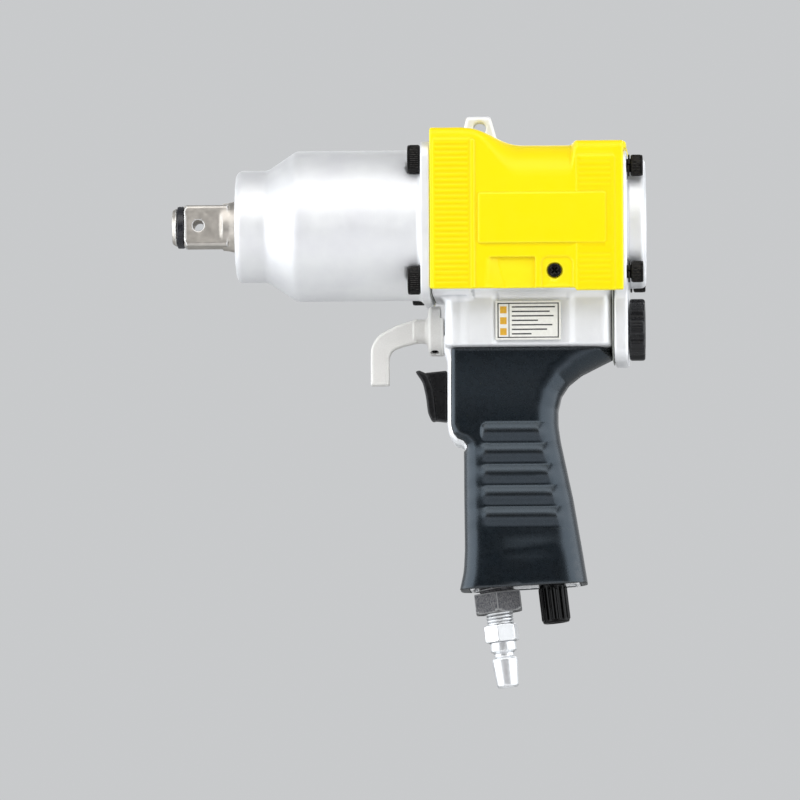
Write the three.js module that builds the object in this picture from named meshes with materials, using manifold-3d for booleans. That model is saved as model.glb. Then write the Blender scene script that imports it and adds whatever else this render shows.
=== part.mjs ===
// A pistol-grip pneumatic impact wrench, in millimetres.
// X runs along the spindle from the anvil's tip towards the back, +Z is up, and the handle hangs below.
// The origin is the centre of the anvil's front end face.
import * as THREE from "three";
import { mergeVertices } from "three/addons/utils/BufferGeometryUtils.js";
import Module from "manifold-3d";

const wasm = await Module();
wasm.setup();

// ---------- driving dimensions ----------
const GAP = 0.3; // between pieces that touch
const DRIVE_FLATS = 19.05; // three-quarter inch square drive
const DRIVE_END = 24; // the square ends here, in X
const NOSE = 29.7; // front face of the hammer case
const FLANGE_BACK = 119.4; // rear face of the hammer case
const HOUSING_FRONT = 120.5;
const HOUSING_BACK = 202.7;
const PLATE_BACK = 210; // rear face of the rear cover's plate
const TOOL_BACK = 218; // rear face of the rear cover's cap
const CASE_RADIUS = 34.7;
const FLANGE_HALF = 36; // half the width of the hammer case's square flange
const BORE_RADIUS = 31.1; // the motor housing's bore
const ROTOR_RADIUS = 22.9;
const VALVE_Z = -49; // axis of the reversing valve
const TRIGGER_Z = -78.5; // axis of the trigger's rod
const FRONT_BOLTS = 28; // the case screws' places, from the spindle in Y and Z
const REAR_BOLTS = [26, 24.4]; // the rear screws' places, in Y and in Z
const PIN_CIRCLE = 24; // the hammer pins' distance from the spindle
const BARREL_FRONT = { half: 34.3, top: 40, back: 138 }; // the barrel is taller over the case screws
const BARREL_REAR = { half: 33.4, top: 31.4, bottom: -33 };
const COVER_HALF = 36.8; // the cover's half width
const COVER_BOTTOM = -33.5;
const COVER_STEP = 186.4; // the cover's lower edge is lower behind this
const COVER_RISE = 1.1;
const COVER_SCREW_RADIUS = 3.2;
const COVER_BACK = 208.5;
const COVER_SCREW = [177, -24.5]; // in X and Z, on both sides
const LUG_HOLE = [141.9, 44.2]; // the hanging lug's hole, in X and Z
const HANDLE_TOP = -58;
const HANDLE_RAKE = THREE.MathUtils.degToRad(6.5);

// ---------- finishes ----------
function finish(color, roughness, metalness) {
  return new THREE.MeshStandardMaterial({ color, roughness, metalness });
}
const FINISH = {
  castAluminium: finish(0xc9cacd, 0.38, 0.9),
  toolSteel: finish(0x4b4845, 0.4, 0.9),
  bearingSteel: finish(0xa9adb2, 0.25, 0.95),
  bronze: finish(0xa8793f, 0.4, 0.9),
  blackScrew: finish(0x16171a, 0.42, 0.6),
  yellow: finish(0xf7e600, 0.28, 0),
  gripRubber: finish(0x14171f, 0.55, 0),
  blackPlastic: finish(0x121317, 0.4, 0),
  leverGrey: finish(0xb9b5ac, 0.5, 0.2),
  inletSteel: finish(0x3a3b3f, 0.6, 0.7),
  platedSteel: finish(0xd5d8dc, 0.2, 1),
  phenolic: finish(0x6b4a2c, 0.6, 0),
  gasket: finish(0x7d8478, 0.8, 0),
  seal: finish(0x0f0f10, 0.6, 0),
  label: finish(0xe9e7df, 0.5, 0),
};

// ---------- shape helpers ----------

// Turns a shape drawn in the local X and Y into one drawn across the named axis.
const ACROSS = {
  x: new THREE.Matrix4().makeBasis(
    new THREE.Vector3(0, 1, 0),
    new THREE.Vector3(0, 0, 1),
    new THREE.Vector3(1, 0, 0),
  ),
  y: new THREE.Matrix4().makeBasis(
    new THREE.Vector3(1, 0, 0),
    new THREE.Vector3(0, 0, 1),
    new THREE.Vector3(0, -1, 0),
  ),
  z: new THREE.Matrix4(),
};

// A closed three.js geometry as a solid that can be joined and cut.
function solid(geometry) {
  const bare = geometry.index ? geometry.toNonIndexed() : geometry.clone();
  bare.deleteAttribute("normal");
  bare.deleteAttribute("uv");
  const merged = mergeVertices(bare, 1e-4);
  return new wasm.Manifold(
    new wasm.Mesh({
      numProp: 3,
      vertProperties: merged.attributes.position.array,
      triVerts: new Uint32Array(merged.index.array),
    }),
  );
}

function geometryOf(made) {
  const mesh = made.getMesh();
  const geometry = new THREE.BufferGeometry();
  geometry.setAttribute("position", new THREE.BufferAttribute(mesh.vertProperties, 3));
  geometry.setIndex(new THREE.BufferAttribute(mesh.triVerts, 1));
  geometry.computeVertexNormals();
  return geometry;
}

// A shape extruded along an axis from low to high. Its plane is YZ, XZ or XY for the axes x, y and z.
// A rounding bevels the edges of both ends inwards, in the given number of steps.
function extruded(axis, shape, low, high, rounding = 0, steps = 2) {
  const geometry = new THREE.ExtrudeGeometry(shape, {
    depth: high - low - 2 * rounding,
    bevelEnabled: rounding > 0,
    bevelThickness: rounding,
    bevelSize: rounding,
    bevelOffset: -rounding,
    bevelSegments: steps,
    curveSegments: 4,
  });
  geometry.translate(0, 0, rounding);
  geometry.applyMatrix4(ACROSS[axis]);
  if (axis === "x") geometry.translate(low, 0, 0);
  if (axis === "y") geometry.translate(0, high, 0);
  if (axis === "z") geometry.translate(0, 0, low);
  return solid(geometry);
}

// A solid of revolution about the spindle, from a profile of [x, radius] points.
function turned(points, sides = 24) {
  const geometry = new THREE.LatheGeometry(
    points.map(([x, r]) => new THREE.Vector2(r, x)),
    sides,
  );
  geometry.rotateZ(-Math.PI / 2);
  return solid(geometry);
}

// A round bar along an axis, centred on (u, v): YZ, XZ or XY for the axes x, y and z.
function bar(axis, [u, v], radius, low, high, sides = 20) {
  const geometry = new THREE.CylinderGeometry(radius, radius, high - low, sides);
  geometry.translate(0, (low + high) / 2, 0);
  if (axis === "x") geometry.rotateZ(-Math.PI / 2).translate(0, u, v);
  if (axis === "y") geometry.translate(u, 0, v);
  if (axis === "z") geometry.rotateX(Math.PI / 2).translate(u, v, 0);
  return solid(geometry);
}

function block([x0, y0, z0], [x1, y1, z1]) {
  const geometry = new THREE.BoxGeometry(x1 - x0, y1 - y0, z1 - z0);
  geometry.translate((x0 + x1) / 2, (y0 + y1) / 2, (z0 + z1) / 2);
  return solid(geometry);
}

function roundedRectangle(u0, v0, u1, v1, radius) {
  const quarter = Math.PI / 2;
  const shape = new THREE.Shape();
  shape.absarc(u1 - radius, v0 + radius, radius, -quarter, 0);
  shape.absarc(u1 - radius, v1 - radius, radius, 0, quarter);
  shape.absarc(u0 + radius, v1 - radius, radius, quarter, 2 * quarter);
  shape.absarc(u0 + radius, v0 + radius, radius, 2 * quarter, 3 * quarter);
  return shape;
}

const outline = (points) => new THREE.Shape(points.map(([u, v]) => new THREE.Vector2(u, v)));

// The four corners of a bolt pattern, as [y, z].
const corners = (y, z) => [
  [-y, z],
  [y, z],
  [-y, -z],
  [y, -z],
];

// A socket-head cap screw along the spindle, its head at the front or back end.
function capScrew([y, z], headRadius, shankRadius, headLow, headHigh, shankEnd) {
  const pointsBack = shankEnd > headHigh;
  const outer = pointsBack ? headLow : headHigh;
  const inner = pointsBack ? headHigh : headLow;
  const socketFloor = outer + (inner - outer) * 0.55;
  const [socketLow, socketHigh] = [Math.min(outer, socketFloor), Math.max(outer, socketFloor)];
  const head = bar("x", [y, z], headRadius, headLow, headHigh, 14);
  const shank = bar("x", [y, z], shankRadius, Math.min(inner, shankEnd), Math.max(inner, shankEnd), 10);
  const socket = bar("x", [y, z], headRadius * 0.5, socketLow, socketHigh, 6);
  return head.add(shank).subtract(socket);
}

// ---------- impact mechanism ----------

const LUG_REACH = 15.6;
const LUG_HALF = 3.8;
const HAMMER_FRONT = [66.4, 79.8];
const HAMMER_REAR = [81.8, 95.2];
const LUG_MARGIN = 0.4; // an anvil lug is this much shorter than its hammer at each end

function anvil() {
  const half = DRIVE_FLATS / 2;
  const square = extruded("x", roundedRectangle(-half, -half, half, half, 2), 0, DRIVE_END + 0.2, 1.4, 1);
  const shaft = turned([
    [DRIVE_END - 0.5, 0],
    [DRIVE_END - 0.5, 10.6],
    [27, 10.9],
    [NOSE - 0.3, 12],
    [57.2, 12],
    [57.2, 15],
    [60, 15],
    [60, 12.7],
    [66, 12.7],
    [66, 10],
    [95.4, 10],
    [95.4, 7],
    [100.4, 7],
    [100.4, 0],
  ], 20);
  const lug = ([x0, x1], low, high) =>
    block([x0 + LUG_MARGIN, -LUG_HALF, low], [x1 - LUG_MARGIN, LUG_HALF, high]);
  const frontLug = lug(HAMMER_FRONT, -LUG_REACH, 0);
  const rearLug = lug(HAMMER_REAR, 0, LUG_REACH);
  const grooveRing = turned([
    [2.2, 8.2],
    [2.2, 16],
    [6, 16],
    [6, 8.2],
    [2.2, 8.2],
  ]);
  const pinHole = bar("y", [12.4, 0], 2.5, -12, 12, 16);
  return square.add(shaft).add(frontLug).add(rearLug).subtract(grooveRing).subtract(pinHole);
}

function ringAbout(x0, x1, inner, outer, sides = 20) {
  return turned(
    [
      [x0, inner],
      [x0, outer],
      [x1, outer],
      [x1, inner],
      [x0, inner],
    ],
    sides,
  );
}

function hammerCage() {
  const drum = bar("x", [0, 0], 30, 61, 101.6, 32);
  const hub = bar("x", [0, 0], 11, 101, 110);
  const chamber = bar("x", [0, 0], 27.2, 65.4, 96.2, 32);
  const frontBore = bar("x", [0, 0], 13.3, 60, 66);
  const tailBore = bar("x", [0, 0], 7.4, 96, 100.9);
  const rotorSocket = bar("x", [0, 0], 7.5, 102.4, 111, 6);
  let cage = drum.add(hub).subtract(chamber).subtract(frontBore).subtract(tailBore).subtract(rotorSocket);
  for (const side of [-1, 1]) {
    const windowNear = Math.min(side * 15.9, side * 31);
    const windowFar = Math.max(side * 15.9, side * 31);
    cage = cage.subtract(block([65.4, -31, windowNear], [96.2, 31, windowFar]));
    cage = cage.subtract(bar("x", [0, side * PIN_CIRCLE], 4.2, 60, 102, 16));
  }
  return cage;
}

// A hammer ring that rocks on the pin on one side (1 above, -1 below) and is held by the other pin's slot.
// The half of its opening away from its pin is larger, and the steps between the halves strike the anvil.
function hammer([x0, x1], side) {
  const ring = new THREE.Shape().absarc(0, 0, 24.2, 0, 2 * Math.PI);
  const opening = new THREE.Path();
  const [upper, lower] = side > 0 ? [16.4, 17.4] : [17.4, 16.4];
  opening.absarc(0, 0, upper, 0, Math.PI);
  opening.absarc(0, 0, lower, Math.PI, 2 * Math.PI);
  ring.holes.push(opening);
  const drawn = { depth: x1 - x0, bevelEnabled: false, curveSegments: 14 };
  const geometry = new THREE.ExtrudeGeometry(ring, drawn);
  geometry.applyMatrix4(ACROSS.x).translate(x0, 0, 0);
  const pivot = bar("x", [0, side * PIN_CIRCLE], 4.25, x0 - 1, x1 + 1, 16);
  const slotLow = Math.min(-side * 19.6, -side * 30);
  const slotHigh = Math.max(-side * 19.6, -side * 30);
  const slot = block([x0 - 1, -8.8, slotLow], [x1 + 1, 8.8, slotHigh]);
  return solid(geometry).subtract(pivot).subtract(slot);
}

const hammerPin = (side) => bar("x", [0, side * PIN_CIRCLE], 3.9, 61.6, 101.2, 16);

function hammerCase() {
  const shell = turned(
    [
      [NOSE, 12.8],
      [NOSE, 22.8],
      [NOSE + 0.9, 24.9],
      [NOSE + 3, 25.8],
      [43.6, 25.8],
      [45.6, 26.4],
      [56.4, 34],
      [58.6, CASE_RADIUS],
      [FLANGE_BACK, CASE_RADIUS],
      [FLANGE_BACK, 31.2],
      [60, 31.2],
      [57, 27],
      [57, 16.3],
      [34.2, 16.3],
      [34.2, 15.4],
      [31, 15.4],
      [31, 12.8],
      [NOSE, 12.8],
    ],
    28,
  );
  const flangeShape = roundedRectangle(-FLANGE_HALF, -FLANGE_HALF, FLANGE_HALF, FLANGE_HALF, 8);
  const flangeBore = bar("x", [0, 0], 33, 115, 120, 28);
  const flange = extruded("x", flangeShape, 115.6, FLANGE_BACK).subtract(flangeBore);
  let made = shell.add(flange);
  for (const corner of corners(FRONT_BOLTS, FRONT_BOLTS)) {
    const headPocket = bar("x", corner, 7.2, 104, 115.6, 12);
    const screwHole = bar("x", corner, 4.3, 115, 120, 10);
    made = made.subtract(headPocket).subtract(screwHole);
  }
  return made;
}

function caseGasket() {
  const outer = roundedRectangle(-34.5, -34.5, 34.5, 34.5, 8);
  const sheet = extruded("x", outer, FLANGE_BACK + GAP, HOUSING_FRONT - GAP);
  let made = sheet.subtract(bar("x", [0, 0], 31.4, 119, 121, 24));
  for (const corner of corners(FRONT_BOLTS, FRONT_BOLTS))
    made = made.subtract(bar("x", corner, 4.4, 119, 121, 10));
  return made;
}

const caseScrew = (corner) => capScrew(corner, 6.5, 4, 109.6, 115.3, 136);

// ---------- motor ----------

const BEARING = { inner: 7.8, outer: 16 };

// A disc that closes one end of the motor and holds a bearing in a pocket.
function endPlate(x0, x1, pocketLow, pocketHigh) {
  const disc = bar("x", [0, 0], 30.8, x0, x1, 32);
  const pocket = bar("x", [0, 0], BEARING.outer + GAP, pocketLow, pocketHigh, 20);
  return disc.subtract(pocket).subtract(bar("x", [0, 0], 8.1, x0 - 1, x1 + 1));
}

const frontEndPlate = () => endPlate(112.6, 123.5, 112, 119.6);
const rearEndPlate = () =>
  endPlate(191.2, 202.2, 195.4, 203).subtract(bar("x", [0, 28.2], 1.8, 191, 196, 10));

const VANES = 6;
const vaneAngle = (index) => (index / VANES) * 2 * Math.PI;

function rotor() {
  const core = turned(
    [
      [110.4, 0],
      [110.4, 7.5],
      [124.2, 7.5],
      [124.2, ROTOR_RADIUS],
      [190.5, ROTOR_RADIUS],
      [190.5, 7.5],
      [201, 7.5],
      [201, 0],
    ],
    32,
  );
  let made = core.add(bar("x", [0, 0], 7.1, 103, 111, 6));
  for (let i = 0; i < VANES; i++) {
    const slot = new THREE.BoxGeometry(68, 3, 12).translate(157.35, 0, 19.2).rotateX(vaneAngle(i));
    made = made.subtract(solid(slot));
  }
  return made;
}

function rotorVane(index) {
  return solid(new THREE.BoxGeometry(65.9, 2.4, 9.1).translate(157.35, 0, 18.1).rotateX(vaneAngle(index)));
}

function cylinderLiner() {
  const tube = bar("x", [0, 0], 30.8, 123.8, 190.9, 32);
  const bore = bar("x", [0, -1.8], 25.2, 123, 192, 32);
  const dowelHole = bar("x", [0, 28.2], 1.8, 186, 192, 10);
  const exhaustPort = block([150, -6, -32], [164, 6, -20]);
  return tube.subtract(bore).subtract(dowelHole).subtract(exhaustPort);
}

const linerDowel = () => bar("x", [0, 28.2], 1.5, 186.4, 195.6, 10);

// A barrel's cross-section, grown by a margin, its bottom at its own level or as deep as it is wide.
function barrelShape({ half, top, bottom = -half }, margin, radius) {
  return roundedRectangle(-half - margin, bottom - margin, half + margin, top + margin, radius + margin);
}

// The handle core's side outline, grown by a margin at the front and back, and extended down by a drop.
// Its foot stands a little proud of the grip sleeve's slanted bottom.
function coreShape(margin, drop) {
  const back = [
    [200.5, -52],
    [200.5, -57.6],
    [186, -64],
    [177, -74],
    [173.4, -84],
    [173.6, -96],
    [180, -128],
    [187, -163],
  ];
  const foot = drop > 0 ? [[187, -163 - drop], [136.8, -163 - drop]] : [[187, -166.6]];
  const front = [
    [136.8, -169.1],
    [137.3, -108.5],
    [134, -103],
    [130.2, -101.4],
    [127.6, -98],
    [126.8, -93],
    [126.8, -64.6],
    [125.2, -59],
    [125.2, -52],
  ];
  const grown = (points, by) => points.map(([x, z]) => [x + by, z]);
  return outline([...grown(back, margin), ...foot, ...grown(front, -margin)]);
}

// The aluminium casting: the motor's barrel, the valve neck below it, and the handle's core.
function motorHousing() {
  const frontBarrel = extruded("x", barrelShape(BARREL_FRONT, 0, 8), HOUSING_FRONT, BARREL_FRONT.back);
  const rearBarrel = extruded("x", barrelShape(BARREL_REAR, 0, 11), BARREL_FRONT.back - 0.1, HOUSING_BACK);
  const neck = extruded("z", roundedRectangle(126, -23.5, HOUSING_BACK, 23.5, 4), HANDLE_TOP + 0.4, -30);
  const hangingLug = extruded(
    "y",
    outline([
      [133.6, 30],
      [150.9, 30],
      [150.6, 37],
      [147, 49],
      [146.2, 50],
      [136.6, 50],
      [135.6, 49],
      [134.2, 43],
    ]),
    -4.5,
    4.5,
    0.6,
    1,
  );
  const core = extruded("y", coreShape(0, 0), -14, 14, 3, 1);
  let made = frontBarrel.add(rearBarrel).add(neck).add(core).add(hangingLug);
  made = made.subtract(bar("x", [0, 0], BORE_RADIUS, HOUSING_FRONT - 1, HOUSING_BACK + 1, 32));
  for (const corner of corners(FRONT_BOLTS, FRONT_BOLTS))
    made = made.subtract(bar("x", corner, 4.3, HOUSING_FRONT - 1, 137, 10));
  for (const corner of corners(...REAR_BOLTS))
    made = made.subtract(bar("x", corner, 3.3, 180, HOUSING_BACK + 1, 10));
  for (const side of [-1, 1]) {
    const [low, high] = side < 0 ? [-36, -28] : [28, 36];
    made = made.subtract(bar("y", COVER_SCREW, 2.3, low, high, 12));
  }
  const valveBore = bar("x", [0, VALVE_Z], 7.6, 128, HOUSING_BACK + 1, 20);
  const valveMouth = bar("x", [0, VALVE_Z], 6.1, 124, 129, 20);
  const triggerPocket = block([124, -6.3, -92], [133.6, 6.3, -66.4]);
  const throttleBore = bar("x", [0, TRIGGER_Z], 7.3, 133, 157.4, 16);
  const supplyPassage = bar("z", [138, 0], 4, TRIGGER_Z, VALVE_Z, 12);
  const inletPassage = bar("z", [150, 0], 6, -164, TRIGGER_Z, 14);
  const exhaustPassage = bar("z", [165.5, 0], 5.5, -162, VALVE_Z, 14);
  const motorPort = bar("z", [157, 0], 5, VALVE_Z, -28, 12);
  const hangingHole = bar("y", LUG_HOLE, 3, -6, 6, 20);
  const cuts = [
    valveBore,
    valveMouth,
    triggerPocket,
    throttleBore,
    supplyPassage,
    inletPassage,
    exhaustPassage,
    motorPort,
    hangingHole,
    inHandle(bar("z", [0, 0], 8.6, -110.5, -93, 20)),
    inHandle(bar("z", [MUFFLER_X, 0], 7, -110.5, -92, 20)),
  ];
  for (const cut of cuts) made = made.subtract(cut);
  return made;
}

function rearGasket() {
  const sheet = extruded("x", rearPlateShape(-0.8), HOUSING_BACK + 0.25, HOUSING_BACK + 0.75);
  const motorHole = bar("x", [0, 0], 31.4, 202, 205, 24);
  const valveHole = bar("x", [0, VALVE_Z], 7.8, 202, 205, 16);
  let made = sheet.subtract(motorHole).subtract(valveHole);
  for (const corner of corners(...REAR_BOLTS)) made = made.subtract(bar("x", corner, 3.4, 202, 205, 10));
  return made;
}

// The rear plate's outline, grown by a margin: as wide as the barrel above and as the neck below.
function rearPlateShape(margin) {
  const wide = 33 + margin;
  const narrow = 23.5 + margin;
  const top = BARREL_REAR.top + margin;
  const bottom = -65 - margin;
  return outline([
    [-wide + 9, top],
    [-wide + 3, top - 3],
    [-wide, top - 9],
    [-wide, -26],
    [-wide + 3, -31],
    [-narrow, -37],
    [-narrow, bottom + 9],
    [-narrow + 3, bottom + 3],
    [-narrow + 9, bottom],
    [narrow - 9, bottom],
    [narrow - 3, bottom + 3],
    [narrow, bottom + 9],
    [narrow, -37],
    [wide - 3, -31],
    [wide, -26],
    [wide, top - 9],
    [wide - 3, top - 3],
    [wide - 9, top],
  ]);
}

function rearCover() {
  const plate = extruded("x", rearPlateShape(0), HOUSING_BACK + 1.1, PLATE_BACK);
  const cap = turned(
    [
      [PLATE_BACK - 1, 0],
      [PLATE_BACK - 1, 30],
      [TOOL_BACK - 1.5, 29.6],
      [TOOL_BACK, 28],
      [TOOL_BACK, 0],
    ],
    32,
  );
  let made = plate.add(cap).subtract(bar("x", [0, 0], 17, HOUSING_BACK, HOUSING_BACK + 4, 24));
  made = made.subtract(bar("x", [0, VALVE_Z], 4.9, HOUSING_BACK, PLATE_BACK + 1, 20));
  for (const corner of corners(...REAR_BOLTS)) made = made.subtract(bar("x", corner, 3.3, 203, 211, 12));
  return made;
}

const rearScrew = (corner) => capScrew(corner, 5, 3, PLATE_BACK + GAP + 1.4 + 0.1, 217.4, 184);
function rearWasher(centre) {
  const disc = bar("x", centre, 5, PLATE_BACK + GAP, PLATE_BACK + GAP + 1.2, 14);
  return disc.subtract(bar("x", centre, 3.4, 209, 213, 12));
}

// ---------- reversing valve and air regulator ----------

const valveBushing = () => ringOn(VALVE_Z, 128.4, 168, 6, 7.3);

// A tube along X whose axis is at the given height.
function ringOn(z, x0, x1, inner, outer, sides = 20) {
  return bar("x", [0, z], outer, x0, x1, sides).subtract(bar("x", [0, z], inner, x0 - 1, x1 + 1, sides));
}

function reverseValve() {
  const spool = bar("x", [0, VALVE_Z], 5.6, 118.4, 167, 20);
  const port = block([134, -8, VALVE_Z - 2.5], [142, 8, VALVE_Z + 2.5]);
  return spool.subtract(port).subtract(bar("x", [0, VALVE_Z], 3.6, 146, 168, 12));
}

function reverseLever() {
  const hub = bar("x", [0, VALVE_Z], 11.5, 117, 125.2, 24);
  const collar = bar("x", [0, VALVE_Z], 5.6, 112.4, 117.5, 16);
  const path = new THREE.CurvePath();
  const start = new THREE.Vector3(117.4, 0, VALVE_Z);
  const bendStart = new THREE.Vector3(106.4, 0, -50.2);
  const bendEnd = new THREE.Vector3(95.7, 0, -62.5);
  const tip = new THREE.Vector3(95.7, 0, -74);
  path.add(new THREE.LineCurve3(start, bendStart));
  path.add(
    new THREE.CubicBezierCurve3(
      bendStart,
      new THREE.Vector3(100.4, 0, -50.8),
      new THREE.Vector3(95.7, 0, -55.4),
      bendEnd,
    ),
  );
  path.add(new THREE.LineCurve3(bendEnd, tip));
  const arm = new THREE.ExtrudeGeometry(roundedRectangle(-4.6, -4, 4.6, 4, 2.2), {
    steps: 9,
    bevelEnabled: false,
    extrudePath: path,
    curveSegments: 2,
  });
  return hub
    .add(collar)
    .add(solid(arm))
    .subtract(bar("x", [0, VALVE_Z], 5.9, 118.1, 126, 20))
    .subtract(hubRod(2, -12, 0));
}

const GRUB_TURN = -25; // of the hub's set screw about the lever's axis, from straight down, in degrees

// A rod that points out of the lever's hub, from one distance to another along its own axis.
function hubRod(radius, low, high) {
  return bar("z", [121, 0], radius, low, high, 10).rotate([GRUB_TURN, 0, 0]).translate([0, 0, VALVE_Z]);
}

const leverSetScrew = () => hubRod(1.7, -10.6, -6);

function regulatorValve() {
  const body = bar("x", [0, VALVE_Z], 7.2, 171, 203, 20);
  const stem = bar("x", [0, VALVE_Z], 4.5, 202, 214.4, 16);
  const port = block([174, -8, VALVE_Z - 3], [184, 0, VALVE_Z + 3]);
  return body.add(stem).subtract(port);
}

const KNOB_LOBES = 8;

function regulatorKnob() {
  const x0 = PLATE_BACK + 0.4;
  let knob = bar("x", [0, VALVE_Z], 14.2, x0, 217.6, 32);
  for (let i = 0; i < KNOB_LOBES; i++) {
    const angle = ((i + 0.5) / KNOB_LOBES) * 2 * Math.PI;
    const centre = [15.6 * Math.cos(angle), VALVE_Z + 15.6 * Math.sin(angle)];
    knob = knob.subtract(bar("x", centre, 2.6, x0 - 1, 219, 10));
  }
  return knob.subtract(bar("x", [0, VALVE_Z], 4.8, x0 - 1, 214.8, 16));
}

// ---------- throttle ----------

function trigger() {
  const blade = outline([
    [112, -67.8],
    [113.8, -67.1],
    [126.6, -66.9],
    [126.6, -90.9],
    [119.8, -90.7],
    [118, -88],
    [117, -80.5],
    [115.8, -74.2],
    [114.2, -70.4],
  ]);
  return extruded("y", blade, -5.7, 5.7, 1, 1).subtract(bar("x", [0, TRIGGER_Z], 2.3, 119, 128, 12));
}

const triggerRod = () => bar("x", [0, TRIGGER_Z], 2, 119.3, 144, 12);
const throttleSeat = () => ringOn(TRIGGER_Z, 142.3, 144.1, 4.4, 7, 16);

function triggerBushing() {
  const collar = ringOn(TRIGGER_Z, 133.9, 135.9, 2.4, 7, 16);
  return collar.add(ringOn(TRIGGER_Z, 133.9, 137, 2.4, 4, 16));
}

function throttleValve() {
  const disc = bar("x", [0, TRIGGER_Z], 5.8, 144.4, 147, 16);
  return disc.add(bar("x", [0, TRIGGER_Z], 2, 146, 150, 10));
}

// A coil spring along X about the throttle's axis.
function throttleSpring() {
  const low = 147.7;
  const high = 156.8;
  const turns = 3.5;
  class Coil extends THREE.Curve {
    getPoint(t, target = new THREE.Vector3()) {
      const angle = t * turns * 2 * Math.PI;
      return target.set(low + (high - low) * t, 4.2 * Math.cos(angle), TRIGGER_Z + 4.2 * Math.sin(angle));
    }
  }
  const wire = new THREE.Shape().absarc(0, 0, 0.55, 0, 2 * Math.PI);
  const drawn = { steps: 32, bevelEnabled: false, extrudePath: new Coil(), curveSegments: 2 };
  return solid(new THREE.ExtrudeGeometry(wire, drawn));
}

// ---------- handle and air fittings ----------

// The handle's lower fittings are modelled upright about the inlet's axis, with z = 0 at the handle's top,
// and then leaned back with the handle.
const INLET = new THREE.Vector3(137.3, 0, HANDLE_TOP - 11);
const RAKED = new THREE.Matrix4().makeRotationY(-HANDLE_RAKE);
const LEAN = new THREE.Matrix4().makeTranslation(INLET).multiply(RAKED);
const inHandle = (made) => solid(geometryOf(made).applyMatrix4(LEAN));
const MUFFLER_X = 25.6;

function gripSleeve() {
  const profile = outline([
    [128.6, -40],
    [216, -40],
    [216, -60],
    [203.6, -63.4],
    [188, -69.6],
    [180, -77],
    [177.2, -86],
    [178.2, -97],
    [184.2, -127.5],
    [188.2, -151],
    [194.6, -190],
    [130, -190],
    [132, -168],
    [134.2, -150],
    [133.8, -105.4],
    [128.6, -97.6],
  ]);
  const trim = outline([
    [100, HANDLE_TOP],
    [HOUSING_BACK, HANDLE_TOP],
    [HOUSING_BACK, -165.4],
    [190.6, -166],
    [132, -169],
    [100, -170.6],
  ]);
  const whole = extruded("y", profile, -19, 19, 8, 3).intersect(extruded("y", trim, -25, 25));
  return whole.subtract(extruded("y", coreShape(0.5, 12), -14.4, 14.4));
}

function inletBushing() {
  const hex = bar("z", [0, 0], 21 / Math.sqrt(3), -110.8, -101.4, 6);
  const thread = bar("z", [0, 0], 8.2, -101.6, -94.6, 20);
  return hex.add(thread).subtract(bar("z", [0, 0], 6.7, -111, -94, 18));
}

function inletStrainer() {
  const cup = bar("z", [0, 0], 6.2, -103.6, -95.2, 16);
  return cup.subtract(bar("z", [0, 0], 5.4, -104, -96, 16));
}

// A quick-connect plug: thread, wrench flats, neck, locking groove and tapered nose, with an open bore.
function hoseNipple() {
  const profile = [
    [3.2, -145],
    [4.6, -145],
    [5, -144.3],
    [6, -133.4],
    [6, -132.2],
    [4.5, -131.5],
    [4.5, -128.8],
    [6, -128.2],
    [6, -123.5],
    [6.3, -117],
    [6.3, -104.2],
    [3.2, -104.2],
    [3.2, -145],
  ];
  const plug = new THREE.LatheGeometry(
    profile.map(([r, z]) => new THREE.Vector2(r, z)),
    18,
  ).rotateX(Math.PI / 2);
  const wrenchFlats = bar("z", [0, 0], 14 / Math.sqrt(3), -124, -116.2, 6);
  return solid(plug).add(wrenchFlats).subtract(bar("z", [0, 0], 3.2, -146, -104, 18));
}

function exhaustMuffler() {
  const low = -118.4;
  const body = bar("z", [MUFFLER_X, 0], 6.65, low, -96, 20);
  return body.subtract(bar("z", [MUFFLER_X, 0], 4, low + 3, -95, 14));
}

// ---------- cover and label ----------

// The saddle that covers the motor: open below, behind, and around the hanging lug.
function motorCover() {
  const side = outline([
    [110, -45],
    [220, -45],
    [220, 35.4],
    [187.2, 35.4],
    [186, 34.4],
    [160, 34.4],
    [154.5, 35.5],
    [148.5, 38.2],
    [142.5, 40.7],
    [137.5, 41.6],
    [133, 41.8],
    [110, 41.8],
  ]);
  const whole = extruded("y", side, -COVER_HALF, COVER_HALF, 5, 3);
  let cover = whole.intersect(block([HOUSING_FRONT - 0.6, -50, COVER_BOTTOM], [COVER_BACK, 50, 60]));
  const raised = block([100, -50, -60], [COVER_STEP, 50, COVER_BOTTOM + COVER_RISE]);
  const insideFront = { ...BARREL_FRONT, bottom: -60 };
  const insideRear = { ...BARREL_REAR, bottom: -60 };
  for (const sign of [-1, 1]) {
    const wall = (depth) => [Math.min(sign * 30, sign * depth), Math.max(sign * 30, sign * depth)];
    const [padLow, padHigh] = wall(COVER_HALF + 0.8);
    cover = cover.add(block([120.4, padLow, COVER_BOTTOM + 0.2], [138, padHigh, 36]));
    cover = cover.add(block([187, padLow, COVER_BOTTOM + 0.2], [203, padHigh, 28.5]));
    const [bandLow, bandHigh] = wall(COVER_HALF + 0.5);
    cover = cover.add(block([137, bandLow, -11.3], [201, bandHigh, 11.3]));
    const recess = sign < 0 ? [-40, 2 - COVER_HALF] : [COVER_HALF - 2, 40];
    cover = cover.subtract(block([150, recess[0], -40], [168, recess[1], -18]));
    const counterbore = sign < 0 ? [-40, 1.6 - COVER_HALF] : [COVER_HALF - 1.6, 40];
    cover = cover.subtract(bar("y", COVER_SCREW, COVER_SCREW_RADIUS + 0.4, ...counterbore, 16));
    cover = cover.subtract(bar("y", COVER_SCREW, 2.4, ...wall(40), 12));
  }
  return cover
    .subtract(raised)
    .subtract(extruded("x", barrelShape(insideFront, 0.35, 8), 118, BARREL_FRONT.back + 0.4))
    .subtract(extruded("x", barrelShape(insideRear, 0.35, 11), 130, 212))
    .subtract(block([132.9, -6.3, 30], [151.5, 6.3, 50]));
}

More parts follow.
